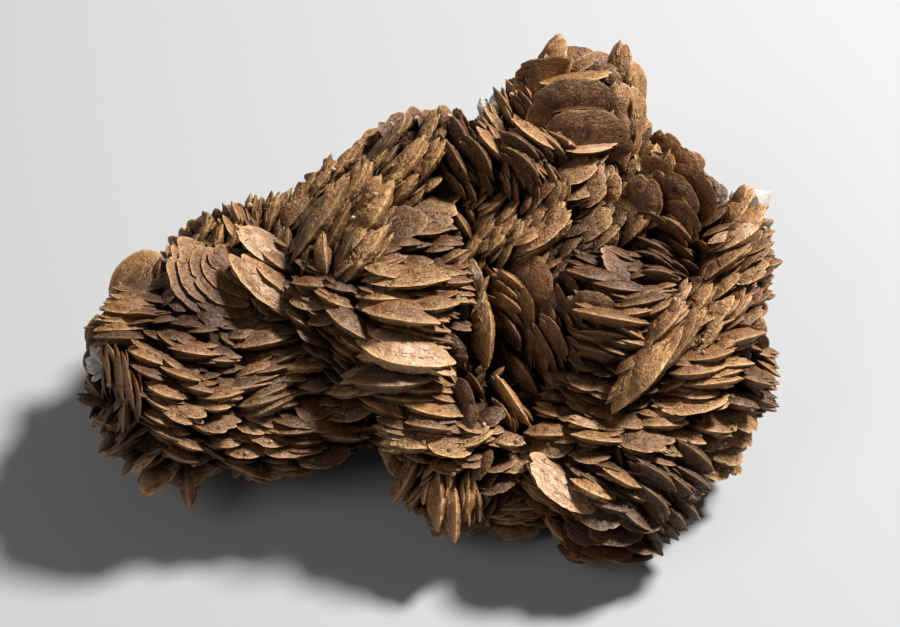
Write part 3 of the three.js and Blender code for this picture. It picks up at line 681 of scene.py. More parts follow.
raise_crystals(
    "crystals_west",
    chiefs=(
        (-50.4, 6, 38, 48, 5.6, "sandy", "shell"), (-52.6, 5, 60, 24, 5, "sandy", "shell"),
        (-47.3, 7.5, 80, 8, 3, "plain", "leaf"), (-50.5, 4.5, 10, 10, 3.6, "plain", "leaf"),
        (-51, 3, 0, 8, 4, "plain", "blade"), (-51.5, 1.6, -3, 8, 4.4, "sandy", "blade"),
        (-52.2, 0.3, -3, 6, 4.8, "plain", "blade"), (-53, -1.2, 0, 6, 4.4, "sandy", "blade"),
        (-53, -2.6, 0, 5, 4.4, "plain", "blade"), (-53, -4, -4, 4, 4.6, "dark", "blade"),
        # Painted shade: these two nests have brown skins for the shade inside them.
        (-41.4, 3.6, -48, 46, 7, "brown", "nest"), (-37.2, 0.4, -24, 44, 6.2, "brown", "nest"),
        (-42.3, 8.2, -50, 42, 4.2, "plain", "shell"), (-39.7, 8.6, -50, 40, 3.6, "plain", "leaf"),
        (-44.5, 8, -60, 12, 3.6, "plain", "leaf"), (-36.5, 8.8, -58, 15, 3.6, "dark", "leaf"),
        (-30.2, 9.4, -38, 34, 6.6, "pearly", "tile"), (-33.2, 6.6, -42, 38, 4.8, "sandy", "tile"),
        (-30.8, 3.9, -38, 42, 7.2, "pearly", "tile"), (-29, 1.8, -36, 36, 4.8, "sandy", "tile"),
        (-26.8, 4.8, -35, 15, 2.2, "sandy", "leaf"), (-24.8, 3, -30, 15, 2.4, "plain", "leaf"),
        (-27.5, 0.4, -20, 15, 2.4, "sandy", "leaf"), (-41.5, -6.2, -8, 11, 4.2, "plain", "leaf"),
        (-37.3, -7.6, -5, 9, 3.2, "plain", "leaf"), (-31, -2.5, 13, 7, 5.6, "amber", "blade"),
        (-30, -4.6, 10, 13, 6.7, "slaty", "leaf"), (-25.5, -7, 8, 10, 3.7, "plain", "leaf"),
        (-31.5, -9, 20, 10, 4.9, "plain", "leaf"), (-24, -8.6, 3, 11, 4.4, "sandy", "leaf"),
        (-31, -11, 15, 10, 5, "slaty", "leaf"), (-26.3, -10.4, 0, 12, 4.2, "slaty", "leaf"),
        (-29.5, -13, 23, 11, 4.8, "slaty", "leaf"), (-22, -11.8, 0, 11, 4, "slaty", "leaf"),
        (-29, -15.3, 25, 11, 4.2, "slaty", "leaf"), (-48.6, -7.2, -20, 9, 3.9, "plain", "leaf"),
        (-43.5, -9.8, -20, 9, 4.2, "plain", "leaf"), (-41, -12, -15, 10, 3.5, "plain", "leaf"),
        (-48.5, -9.8, -24, 8, 3.9, "dark", "leaf"), (-46, -12.8, -22, 9, 3.8, "plain", "leaf"),
        (-37.5, -13.2, 3, 12, 4, "plain", "leaf"), (-44.2, -16.2, -32, 38, 4.2, "sandy", "leaf"),
        (-47.2, -17.2, -28, 12, 3.4, "plain", "leaf"), (-47, -14.6, -25, 10, 3.4, "plain", "leaf"),
        (-46, -19.4, -25, 9, 3.5, "plain", "leaf"), (-43, -21, -25, 10, 3.5, "plain", "leaf"),
        (-44, -22.9, -25, 10, 3.5, "plain", "leaf"), (-38.5, -15.2, -3, 18, 3.6, "plain", "leaf"),
        (-38, -18, -3, 34, 4.1, "plain", "scale"), (-36.5, -20.9, -3, 18, 3.8, "plain", "leaf"),
        (-33, -22.6, -5, 30, 3.8, "plain", "scale"), (-32.5, -18.4, -16, 34, 3.2, "plain", "scale"),
        (-29.5, -20.6, -12, 34, 3.4, "plain", "scale"), (-27, -22.6, -3, 34, 3.6, "plain", "scale"),
        (-33.5, -25.3, -25, 10, 4.7, "plain", "blade"), (-26.5, -25, -3, 15, 3.2, "plain", "leaf"),
        (-24.5, -26.6, 0, 30, 3.6, "plain", "scale"), (-25.5, -17.8, -12, 15, 3.8, "dark", "leaf"),
        (-22.3, -16.4, -46, 38, 4.4, "amber", "shell"), (-21, -23.6, 0, 42, 4.6, "dark", "shell"),
        (-18, -19.6, -6, 11, 5, "dark", "leaf"), (-49, -23.8, 40, 18, 3.4, "pearly", "shell"),
        (-46.6, -26.6, 42, 36, 4.1, "sandy", "shell"), (-45.6, -28.8, 38, 14, 3.8, "sandy", "leaf"),
        (-44.8, -30.3, 32, 12, 3.3, "sandy", "blade"), (-42.2, -29.4, 94, 5, 4.8, "amber", "spindle"),
        (-40.3, -27.5, 78, 2, 3.2, "dark", "blade"), (-52.5, -21, 38, 6, 3.6, "dark", "leaf"),
        (-55, -18, -20, 8, 3.2, "amber", "leaf"), (-55.2, -8.8, 96, 14, 4.6, "sandy", "shell"),
        (-53.4, -9.6, 98, 18, 5, "sandy", "shell"), (-51.9, -11, 100, 18, 5.2, "plain", "shell"),
        (-50.6, -12.8, 101, 20, 4.6, "plain", "shell"), (-52.5, -16.2, 82, 5, 3.4, "plain", "leaf"),
        (-57, -12.6, 130, 10, 3, "plain", "leaf"), (-57.5, -14.3, -5, 8, 3, "dark", "leaf"),
    ),
    fans=(
        ((-50, 4), (-52, 6), (30, 60), (33, 16), (5, 6), "sandy", "book"),
        ((-50, 4), (-53, -4), (0, 0), (10, 4), (4.6, 4.5), "brown", "book"),
        ((-50.5, -12), (-56, -9), (100, 95), (11, 3), (5, 4.5), "brown", "book"),
        ((-54, -15), (-51, -20), (60, 40), (6, 6), (4, 4), "dark", "book"),
        ((-39, 12), (-40, 3), (60, -32), (22, 39), (4.5, 6), "brown", "scale"),
        ((-29, 10), (-33, -0.5), (-36, -40), (19, 28), (5.5, 6.5), "sandy", "book"),
        ((-40, -6), (-40, -9), (-5, -5), (11, 11), (4, 4), "dark", "book"),
        ((-30, -3), (-30, -14), (12, 14), (11, 16), (7.5, 7), "slaty", "book"),
        ((-46, -7), (-42, -22), (-20, -32), (11, 6), (5, 4.5), "brown", "book"),
        ((-50, -12), (-47, -20), (-20, -30), (6, 3), (4.5, 4), "dark", "book"),
        ((-37, -12), (-34, -24), (-3, -8), (32, 22), (4.8, 4.4), "brown", "scale"),
        ((-31, -16), (-27, -25), (-10, -15), (32, 24), (4.8, 4.4), "brown", "scale"),
        ((-24, -18), (-21, -25), (5, -8), (19, 14), (5, 4.5), "dark", "book"),
        ((-49, -23), (-43, -29), (35, 50), (8, 11), (4.6, 4), "brown", "book"),
    ),
    seeds=(1, 393),
)

# North-west shoulder: thick sugary blades of siderite that stand steep and side by side up to the rim, and
# two shells that lie over their inner end.
raise_crystals(
    "crystals_north_west",
    chiefs=(
        (-39.6, 12.8, 62, 11, 3, "sandy", "leaf"), (-37.3, 12.2, 76, 6, 3, "sandy", "leaf"),
        (-41.5, 11, 55, 10, 3, "plain", "leaf"), (-34, 15.3, -65, 12, 3.3, "plain", "leaf"),
        (-31.5, 13, -50, 8, 3.2, "dark", "leaf"), (-35.5, 13.5, -60, 10, 2.8, "plain", "leaf"),
        (-28.7, 16, 70, 11, 4, "sugary", "blade"), (-26.6, 18.3, 62, 11, 3.8, "sugary", "blade"),
        (-24.3, 16.3, 53, 11, 8.2, "sugary", "blade"), (-28, 11.6, 76, 5, 2.8, "sugary", "blade"),
        (-26.3, 10.8, 86, 8, 3.2, "sugary", "spindle"), (-20.8, 14.6, 57, 8, 8.4, "sugary", "blade"),
        (-24, 10.6, 60, 6, 3.2, "sugary", "blade"), (-23.1, 9.4, 78, 8, 3.3, "sugary", "spindle"),
        (-20.3, 9.2, 97, 4, 4.1, "sandy", "spindle"), (-18.4, 12.8, 62, 5, 5.6, "dark", "blade"),
        (-17, 10, 62, 5, 5, "dark", "blade"), (-12.7, 15.4, 57, 16, 7, "sandy", "leaf"),
        (-14.9, 11.9, 55, 10, 5.6, "sugary", "blade"), (-13.7, 9.3, 52, 10, 5.8, "sugary", "blade"),
        (-11.5, 9.2, 52, 6, 4.3, "sugary", "blade"), (-15.6, 8, 50, 8, 3.6, "sugary", "blade"),
        (-16.2, 19.2, 55, 7, 5.6, "plain", "blade"), (-14.6, 20.3, 56, 7, 5.2, "sugary", "blade"),
        (-18.4, 18.4, 54, 7, 5.4, "sugary", "blade"), (-9, 21.6, 50, 10, 5.6, "sugary", "blade"),
        (-7, 24.6, 52, 10, 5.6, "sugary", "blade"), (-7.2, 20, 48, 5, 4.8, "plain", "blade"),
        (-6, 17.8, 45, 6, 3.6, "plain", "blade"), (-10.3, 26.8, 52, 5, 4.2, "dark", "blade"),
        (-11.5, 24.6, 55, 7, 4, "sugary", "blade"), (-8.9, 28.6, 55, 9, 3.6, "sugary", "blade"),
        (-17.8, 23.4, 56, 8, 4.8, "sugary", "blade"), (-15.6, 25, 54, 8, 4.6, "sugary", "blade"),
        (-20.4, 21.4, 56, 8, 4.4, "sugary", "blade"), (-13.4, 26.6, 52, 8, 4.4, "sugary", "blade"),
        (-4.8, 14.8, -2, 50, 5.9, "sugary", "shell"), (-7.8, 13.4, 14, 48, 4.5, "sugary", "shell"),
        (-22, 20.8, 55, 10, 4, "sugary", "blade"), (-3, 24.4, 58, 11, 4.4, "sugary", "leaf"),
    ),
    fans=(
        ((-34, 14), (-28, 18), (110, 65), (11, 15), (3.2, 4.2), "plain", "scale"),
        ((-46, 7), (-31, 15), (55, 60), (22, 19), (4.2, 4.2), "plain", "scale"),
        ((-28, 17), (-18, 23), (60, 50), (16, 16), (4.6, 4.8), "sugary", "book"),
        ((-25, 15), (-18, 14), (54, 62), (12, 4), (6, 6), "sugary", "book"),
        ((-13.5, 16), (-11.5, 10), (55, 55), (8, 6), (5.5, 5.5), "sugary", "book"),
        ((-16, 21), (-10, 28), (55, 48), (12, 16), (5, 5), "sugary", "book"),
        ((-8, 21), (-4, 29), (45, 55), (11, 25), (5, 5), "sugary", "book"),
        ((-4.5, 16), (-4.5, 13), (0, 0), (21, 16), (5, 5), "sugary", "book"),
    ),
    seeds=(77, 535),
)

# Middle: level books of large siderite leaves with the palest uppermost, and dark ones below them with a
# painted grey-violet sheen. On their right a lone spindle stands over the hollow, which steep blades line,
# with small scales on the slope above.
raise_crystals(
    "crystals_middle",
    chiefs=(
        (-7.4, 11.2, 0, 15, 3, "amber", "leaf"), (-1, 11.3, -3, 15, 3.3, "amber", "leaf"),
        (-10.6, 9.8, 12, 10, 3, "amber", "leaf"), (-10.2, 8.2, 13, 9, 3.6, "amber", "leaf"),
        (-10.4, 6.3, 15, 10, 4.1, "plain", "leaf"), (-6.4, 4.9, 1, 24, 7.2, "sugary", "leaf"),
        (0.2, 8.8, 28, 10, 3.1, "plain", "leaf"), (0.4, 6.6, -8, 11, 3.3, "amber", "leaf"),
        (0, 5, -3, 11, 3.8, "plain", "leaf"), (0.6, 2.7, -16, 11, 3.7, "sugary", "leaf"),
        (-10.5, 2.3, 3, 10, 4.7, "plain", "leaf"), (-7.4, -0.4, -9, 16, 7.5, "plain", "leaf"),
        (-0.8, 0.3, -30, 8, 2.6, "plain", "leaf"), (-4.8, -3.5, -14, 7, 5.6, "dark", "blade"),
        (-5.6, -4.7, -14, 7, 5.6, "plain", "blade"), (-7.6, -7, -10, 16, 8.2, "pearly", "leaf"),
        (-9.6, -11.2, -2, 12, 7.6, "slaty", "leaf"), (-13, -9.8, 8, 11, 4.6, "pearly", "leaf"),
        (-16, -12.6, 12, 13, 4.1, "sandy", "leaf"), (-3, -10.7, -15, 8, 3.4, "sandy", "blade"),
        (-2.8, -12.3, -13, 8, 4.4, "sandy", "blade"), (-0.4, -11.7, -28, 7, 2.2, "sandy", "leaf"),
        (-1.2, -13.8, -16, 7, 2.6, "sandy", "leaf"), (-7, -13.8, -6, 8, 6.4, "slaty", "blade"),
        (-2.6, -16, -13, 10, 4.8, "sandy", "blade"), (-9.5, -15.9, -18, 13, 6, "slaty", "leaf"),
        (-15.6, -16.2, 15, 40, 5, "slaty", "leaf"), (-13, -18.2, -5, 11, 5, "slaty", "leaf"),
        (-8, -18.4, -12, 11, 4.2, "dark", "leaf"), (-3.2, -18.2, -10, 10, 4.2, "slaty", "leaf"),
        (-16, -2, -36, 16, 5.3, "slaty", "leaf"), (-15.4, -5.2, -32, 11, 3.4, "plain", "leaf"),
        (-17, -6.1, -26, 10, 2.8, "plain", "leaf"), (-17.4, -8.1, -45, 10, 2.4, "plain", "leaf"),
        (-22.3, 1.3, 0, 34, 3.5, "sugary", "scale"), (-24.2, -1.2, -30, 14, 3, "sugary", "leaf"),
        (-19.6, -1, 15, 34, 3.2, "slaty", "scale"), (-22, 4.6, -5, 12, 3.6, "amber", "leaf"),
        (-17.6, 4, -10, 12, 3.2, "dark", "leaf"), (-18.6, 1.8, -20, 11, 3.6, "amber", "leaf"),
        (1.4, -5.6, 120, 45, 3.6, "dark", "leaf"), (3, -13.4, 100, 34, 3.2, "dark", "scale"),
        (6.2, -17.6, 20, 40, 3, "dark", "scale"), (3.4, -17.2, 70, 36, 3, "dark", "scale"),
        (4.2, 6.1, 106, 48, 3.4, "pearly", "leaf"), (4.9, 3, 66, 11, 3.6, "plain", "blade"),
        (9.3, 15.8, 45, 14, 3.3, "plain", "leaf"), (7.3, 17.4, 40, 13, 3, "plain", "leaf"),
        (6.2, 15.3, 42, 12, 3.1, "plain", "leaf"), (9, 13.1, 52, 13, 3.6, "plain", "leaf"),
        (7.5, 11.2, 52, 12, 3.5, "sandy", "leaf"), (5.7, 12.8, 50, 11, 3.1, "plain", "leaf"),
        (10.8, 12.2, 60, 15, 3, "sandy", "leaf"), (4, 11, 46, 11, 3.1, "plain", "leaf"),
        (2.9, 9.3, 50, 11, 3, "plain", "leaf"), (14, 15.6, 56, 37, 3.2, "plain", "scale"),
        (12.3, 14.2, 50, 17, 2.8, "plain", "leaf"), (17, 19.4, 75, 40, 2.9, "plain", "scale"),
        (14.2, 19.8, 95, 15, 2, "plain", "leaf"), (16.6, 22.3, 115, 15, 2.3, "plain", "leaf"),
        (18.6, 17.6, 60, 15, 2, "plain", "leaf"), (12.6, 17.6, 60, 15, 2.2, "plain", "leaf"),
        (15.6, 12.6, 35, 17, 5.8, "sandy", "leaf"), (14.6, 10.6, 30, 10, 4.4, "amber", "blade"),
        (20.8, 22.2, 20, 50, 4, "sandy", "scale"), (23.4, 20.6, 60, 44, 3.6, "sandy", "scale"),
        (20.6, 19.2, 10, 44, 3, "plain", "scale"), (23.3, 13.8, 40, 44, 4.3, "sandy", "scale"),
        (28.6, 17, 75, 46, 4.4, "sandy", "scale"), (26.4, 20.2, 80, 44, 3.6, "sandy", "scale"),
        (32.6, 18.2, 100, 54, 4.6, "olive", "shell"), (27, 14.6, 55, 32, 3, "plain", "scale"),
        (30, 13.3, 48, 12, 3.6, "plain", "leaf"), (25, 11.4, 40, 12, 3.6, "plain", "leaf"),
        (2.1, 14.3, 119, 5, 3.3, "amber", "spindle"), (3.7, 15.6, 114, 5, 2.3, "amber", "spindle"),
        (6.1, -2.6, 92, 20, 6.7, "sandy", "spindle"), (9.9, 5.3, 140, 12, 3.5, "plain", "leaf"),
        (9.4, 3.7, 140, 12, 3.4, "plain", "leaf"), (9.7, 1.6, 138, 18, 4.1, "plain", "leaf"),
        (9.6, -2.2, 120, 15, 4.6, "dark", "leaf"), (14.4, 4.4, 100, 56, 6, "amber", "shell"),
        (15.4, 1.6, 102, 50, 5.6, "pearly", "shell"), (13.2, -4.2, 112, 12, 5.6, "plain", "blade"),
        (15.6, -5.6, 112, 15, 4.6, "plain", "leaf"), (12.4, -10.2, 122, 14, 5.4, "plain", "leaf"),
        (10.2, -14, 122, 11, 5.1, "sandy", "blade"), (17.4, -3.6, 116, 18, 4.4, "plain", "leaf"),
        (14.6, -12.4, 118, 8, 3.8, "sandy", "blade"), (8.8, -6.2, 112, 11, 4, "dark", "leaf"),
        (16.3, -10.8, 100, 10, 2.6, "sugary", "leaf"),
    ),
    fans=(
        ((-6, 8), (-6, -3), (5, -8), (22, 14), (7, 6), "plain", "book"),
        ((-8, -7), (-9, -18), (-6, -8), (16, 11), (7.5, 7), "slaty", "book"),
        ((-21, 3), (-15, -8), (-20, -35), (30, 15), (5, 3.5), "slaty", "scale"),
        ((-20, -15), (-9, -19), (-5, -8), (25, 14), (5, 6), "slaty", "book"),
        ((4, 18), (5, 8), (45, 52), (22, 20), (4, 4), "plain", "scale"),
        ((10, 18), (8, 10), (45, 55), (24, 22), (4, 4), "plain", "scale"),
        ((16.5, 20), (15, 11), (70, 40), (34, 21), (4.5, 4.5), "plain", "scale"),
        ((22, 23), (23, 12), (30, 40), (41, 34), (4.5, 4.6), "plain", "scale"),
        ((28, 20), (29, 13), (70, 60), (39, 30), (4.5, 4.5), "plain", "scale"),
        ((6, 6), (10, 2), (120, 138), (30, 22), (4, 4), "plain", "scale"),
        ((11, 2), (17, 0), (100, 105), (22, 25), (6, 5.5), "plain", "book"),
        ((9, -13), (18, -5), (120, 114), (11, 15), (5, 4.5), "plain", "book"),
    ),
    seeds=(117, 619),
)

# Crown: siderite in three thick slabs that lean over the face with thin ledges between them, horns at the
# top, scales down the right flank and steep dark leaves down the left one. The pale upper ledge is a painted
# highlight: it stands for the lit top rim of the slab beneath it.
raise_crystals(
    "crystals_crown",
    chiefs=(
        (17.2, 41.6, 66, 42, 4.9, "sandy", "horn"), (21.6, 41.4, -28, 38, 4.4, "plain", "horn"),
        (14.6, 40.2, 50, 36, 3.6, "pearly", "scale"), (25.2, 41.2, 5, 26, 3, "plain", "scale"),
        (28.6, 39.6, 84, 48, 4.7, "sandy", "horn"), (25.8, 39.8, 30, 34, 3.2, "plain", "scale"),
        (15.4, 39.8, 187, 46, 5.2, "olive", "slab"), (19.8, 35.4, 185, 52, 7.5, "olive", "slab"),
        # Painted highlight: the sandy ledge first in the next line stands for the lit top rim of the slab
        # beneath it.
        (20.4, 37.5, 5, 15, 6.2, "sandy", "ledge"), (21.8, 30.2, 181, 52, 7.4, "olive", "slab"),
        (20.2, 32.8, 2, 3, 5, "ember", "ledge"), (22.2, 26.3, 3, 20, 5, "pearly", "ledge"),
        (28.2, 36.8, 272, 54, 4.4, "sandy", "scale"), (26.8, 34.2, 262, 66, 3.2, "sandy", "scale"),
        (28.4, 32.6, 268, 52, 4.2, "sandy", "scale"), (27, 30, 258, 64, 3.2, "sandy", "scale"),
        (28, 28.6, 262, 50, 3.8, "sandy", "scale"), (12.6, 37.2, 160, 36, 3.4, "dark", "scale"),
        (9.3, 33.4, 120, 9, 4.2, "plain", "blade"), (11.4, 34.4, 120, 9, 4.6, "plain", "blade"),
        (13.2, 33.2, 122, 9, 4, "dark", "blade"), (6.8, 27.1, -47, 14, 4, "sandy", "leaf"),
        (7, 31, -52, 11, 3, "sandy", "leaf"), (13.6, 28.6, -34, 9, 4.6, "sandy", "leaf"),
        (11.7, 27.2, 142, 12, 4.6, "dark", "leaf"), (12, 24.4, 138, 14, 4.5, "dark", "leaf"),
        (9.5, 20.8, 100, 15, 2.5, "plain", "leaf"), (5, 25.4, 122, 14, 5, "dark", "leaf"),
        (2.2, 28.6, 115, 12, 4.2, "dark", "leaf"), (1.4, 24.4, 120, 12, 4.4, "dark", "leaf"),
        (6.2, 21.4, 118, 12, 2.6, "dark", "leaf"), (3.2, 20.4, 118, 11, 3.2, "dark", "leaf"),
        (16.6, 27.6, 140, 10, 3.4, "plain", "blade"), (18.4, 28, 150, 10, 3.6, "amber", "blade"),
        (3.4, 32.8, 115, 24, 3, "plain", "scale"), (32.5, 28.8, 48, 14, 3, "sandy", "leaf"),
        (31.6, 26.2, 42, 13, 2.8, "sandy", "leaf"),
    ),
    fans=(
        ((2, 24), (4, 31), (120, 115), (15, 16), (5, 4.6), "dark", "book"),
        ((7, 29), (14, 24), (-48, -40), (12, 11), (4.2, 4), "plain", "book"),
        ((8, 34), (14.5, 33), (118, 124), (10, 10), (4.6, 4.5), "plain", "book"),
        ((20, 36), (21.5, 28), (182, 182), (30, 30), (4.6, 4.6), "dark", "book"),
        ((16, 41), (24, 41), (70, 10), (22, 22), (4, 4), "plain", "scale"),
        ((28.5, 41), (29.5, 29), (90, 75), (22, 26), (4.4, 4.2), "sandy", "scale"),
        ((9, 22), (16, 24), (110, 125), (22, 22), (3.6, 3.6), "plain", "scale"),
    ),
    seeds=(208, 764),
)

# East flank: thin amber shells of siderite on the shoulder, a crest of leaves that rises to the tip, one long
# steep blade in front of it, and warm dark leaves in the hollow between them, dark with painted shade of the
# crown and the north-east shells over the hollow.
raise_crystals(
    "crystals_east",
    chiefs=(
        (36, 27.6, 105, 52, 3.8, "amber", "shell"), (38.6, 24, 115, 48, 4, "amber", "shell"),
        (37.4, 19.6, 122, 46, 4.9, "brown", "shell"), (40.6, 20, 118, 38, 5.2, "amber", "shell"),
        (38.2, 15.4, 126, 40, 4, "brown", "shell"), (34.2, 23.4, 140, 36, 3.6, "amber", "shell"),
        (30.4, 23.4, 8, 11, 2.8, "pearly", "leaf"), (36.8, 13.8, 140, 11, 3.2, "brown", "leaf"),
        (37.6, 10.6, 143, 10, 3, "dark", "leaf"), (37.4, 8, 145, 10, 3.2, "brown", "leaf"),
        (33.4, 10.6, 150, 12, 3.6, "dark", "leaf"), (33.8, 6.4, 170, 11, 3.6, "dark", "leaf"),
        (46.6, 16.4, 50, 26, 4.6, "sandy", "leaf"), (48.2, 14.2, 38, 20, 4.8, "sandy", "leaf"),
        (46.6, 12, 30, 14, 4.8, "pearly", "leaf"), (50, 12, 20, 14, 3, "plain", "leaf"),
        (44.6, 8, 38, 11, 5.4, "brown", "blade"), (49.4, 9.2, 30, 27, 3.2, "plain", "scale"),
        (48.4, 6.2, 25, 38, 3.9, "sugary", "scale"), (41.2, 5, 36, 12, 3.8, "brown", "leaf"),
        (44.2, 3.8, 40, 17, 4.2, "plain", "leaf"), (47.2, 2.8, 36, 17, 3.4, "plain", "leaf"),
        (50.2, 2, 30, 17, 2.9, "brown", "leaf"), (43, -1, 45, 17, 4.8, "sugary", "leaf"),
        (46.2, 0.2, 44, 16, 4.2, "plain", "leaf"), (49.4, -0.4, 32, 15, 3.2, "plain", "leaf"),
        (37, 2, 46, 13, 3.6, "pearly", "leaf"), (40.2, 1.4, 50, 14, 4.2, "plain", "leaf"),
        (34.6, -2, 46, 16, 5.2, "plain", "leaf"), (32, -10, 49, 20, 8.4, "sandy", "blade"),
        (33.4, -8.4, 48, 16, 8.2, "plain", "blade"), (30.6, -11, 50, 14, 5.6, "plain", "blade"),
        (36.6, -6.4, 48, 15, 7, "brown", "blade"), (31.4, -8, 44, 15, 5, "brown", "leaf"),
        (38.6, -2.6, 47, 13, 4.6, "sugary", "leaf"), (41.5, -4.4, 40, 13, 4, "sugary", "leaf"),
        (27.6, 6.9, -35, 40, 4.3, "plain", "shell"), (27.6, 9.3, -26, 12, 3.2, "brown", "leaf"),
        # Painted shade: these ember leaves of the hollow are dark red-brown for the shade that falls there.
        (23, 8.5, -14, 10, 2.8, "ember", "leaf"), (22, 6.9, -6, 9, 3.4, "ember", "leaf"),
        (24, 5.6, -8, 9, 5, "ember", "blade"), (27, 4.1, -9, 9, 5, "ember", "blade"),
        (23.6, 2.2, 159, 40, 4.3, "brown", "leaf"), (26, -1, -12, 3, 6.2, "plain", "leaf"),
        (25, -3.2, 170, 12, 4.6, "dark", "leaf"), (29.2, -4.7, -13, 9, 3.4, "plain", "leaf"),
        (33, 3.6, 0, 8, 3.8, "plain", "blade"), (31, 2, 10, 9, 5, "brown", "blade"),
        (33, 0.6, 20, 10, 3.8, "brown", "leaf"), (29.6, 0.8, 8, 8, 3.6, "brown", "leaf"),
        (24, -6, 165, 11, 4, "dark", "leaf"), (20.6, -7, 120, 10, 3, "dark", "leaf"),
    ),
    fans=(
        ((33, 27), (40, 22), (60, 112), (30, 34), (4, 4.4), "amber", "scale"),
        ((36, 20), (39, 13), (125, 130), (23, 16), (4.6, 4), "brown", "book"),
        ((32, 12), (37, 6), (150, 150), (13, 11), (4.4, 4.2), "dark", "book"),
        ((46.5, 17), (48, 8), (34, 32), (19, 16), (5, 5), "brown", "book"),
        ((41, 5), (50, 2), (38, 32), (15, 19), (4.4, 4), "brown", "book"),
        ((38, 2), (49, -1), (48, 35), (21, 24), (4.6, 4), "brown", "scale"),
        ((33, -7.5), (36, -4), (48, 48), (19, 16), (7.5, 7), "brown", "book"),
        ((23, 9), (27, 3), (-12, -8), (12, 10), (4.4, 5), "ember", "book"),
        ((24, 1), (26, -6), (-14, -12), (11, 11), (5.5, 5), "brown", "book"),
        ((31, 4), (31, -3), (5, 14), (10, 11), (5, 4), "brown", "book"),
    ),
    seeds=(245, 836),
)

# South-east: rows of siderite leaves and scales that run down to the foot, with dark leaves stacked on its
# end, near black with painted shade as leaves turned from the light are, and a pale granular rim behind
# them.
raise_crystals(
    "crystals_south_east",
    chiefs=(
        (46, -4.4, 18, 8, 5.2, "plain", "leaf"), (42, -6.8, 12, 9, 5, "plain", "leaf"),
        (45, -8.4, 4, 9, 4, "sandy", "leaf"), (40, -9.3, 5, 10, 4.8, "plain", "leaf"),
        (42.2, -11.2, 6, 8, 5.2, "sandy", "blade"), (40, -13.3, 0, 15, 3.8, "plain", "leaf"),
        (39.2, -15.6, 8, 30, 6.2, "sandy", "tile"), (36.6, -11.2, 28, 17, 3.4, "sandy", "leaf"),
        (34, -17.8, 0, 14, 4.8, "plain", "leaf"), (42, -18.6, -5, 15, 4, "plain", "leaf"),
        (49, -3.2, 150, 34, 3.4, "amber", "shell"), (50, -6, -38, 8, 4.2, "plain", "blade"),
        (51, -8.2, -34, 7, 3.8, "plain", "blade"), (51.8, -11, -32, 8, 3.3, "plain", "leaf"),
        (52, -13, -28, 7, 3, "plain", "leaf"), (52.2, -15.4, -30, 10, 3.7, "plain", "leaf"),
        (49.6, -13.4, -25, 8, 4, "dark", "leaf"), (50, -16.8, -10, 8, 3, "dark", "leaf"),
        (48.6, -10.6, -20, 7, 4, "dark", "leaf"), (46.6, -14.6, -15, 10, 3.6, "dark", "leaf"),
        (21.8, -11.6, -15, 35, 3.2, "sandy", "scale"), (22, -15.2, -5, 35, 3.2, "plain", "scale"),
        (24.8, -13, -8, 32, 2.8, "plain", "scale"), (17.4, -13.8, -12, 12, 3.2, "amber", "leaf"),
        (17, -16.2, -12, 8, 3.6, "plain", "leaf"), (22, -18.2, -13, 8, 3.2, "pearly", "leaf"),
        (28.8, -17.8, -5, 27, 3.6, "plain", "scale"), (25.6, -16.6, -5, 27, 3, "plain", "scale"),
        (16.2, -19.5, 0, 12, 4.2, "plain", "leaf"), (24, -20.4, -5, 8, 4.3, "sandy", "blade"),
        (31.4, -21.2, -5, 37, 4.7, "plain", "scale"), (37.6, -20.2, -20, 13, 4, "plain", "leaf"),
        # Painted shade: these umber leaves are near black and slaty, as leaves in shade look.
        (39.4, -23, -36, -15, 4.8, "umber", "leaf"), (39, -26.3, -35, -15, 4.2, "umber", "leaf"),
        (36.6, -27.4, -36, -14, 4.4, "umber", "leaf"), (37.4, -30.4, -40, -13, 4.2, "umber", "leaf"),
        (35.6, -32, -44, -13, 4.2, "umber", "leaf"), (34.6, -34, -46, -11, 3.8, "umber", "leaf"),
        (32.4, -34.6, -50, -12, 3.8, "umber", "leaf"), (33, -26, -34, -15, 4.6, "umber", "leaf"),
        (32.6, -29.6, -38, -14, 4.4, "umber", "leaf"), (28, -26.8, -28, 6, 4, "sandy", "leaf"),
        (23.2, -28.8, -22, 8, 4.2, "sandy", "leaf"), (30.4, -29.6, -20, 7, 2.8, "sandy", "leaf"),
        (26.4, -31.4, -15, 8, 4, "umber", "leaf"), (29.6, -33, -40, 10, 4.4, "umber", "leaf"),
        (43.4, -22.6, -36, 50, 4, "sandy", "scale"), (45.2, -19.6, -40, 52, 3.8, "sandy", "scale"),
        (46.4, -17, -44, 50, 3.6, "sugary", "scale"), (41.8, -24.8, -38, 50, 3.8, "sandy", "scale"),
        (43, -18, -30, 54, 3.4, "sandy", "scale"), (41.2, -20.8, -30, 54, 3.2, "plain", "scale"),
        (44.2, -24, -50, 40, 3.4, "sandy", "scale"),
    ),
    fans=(
        ((44, -4), (41, -15), (15, 2), (8, 20), (6, 5.4), "plain", "book"),
        ((50, -3), (50.5, -17), (-25, -25), (10, 8), (4.6, 4.4), "plain", "book"),
        ((19, -10), (24, -18), (-10, -8), (32, 26), (4, 3.8), "plain", "scale"),
        ((26, -15), (36, -18), (-4, 0), (28, 24), (4.6, 4.6), "plain", "scale"),
        ((15, -18), (25, -21), (0, -6), (21, 18), (4.8, 4.4), "plain", "scale"),
        ((30, -21), (37, -22), (-8, -24), (30, 22), (5, 4.6), "plain", "scale"),
        ((45, -17), (42, -25), (-40, -36), (46, 46), (4, 4), "sandy", "scale"),
        ((37.5, -27), (33, -35), (-36, -50), (-16, -16), (5, 5), "umber", "book"),
        ((32, -25), (29, -33), (-30, -40), (-6, -10), (5, 5), "umber", "book"),
    ),
    seeds=(297, 931),
)

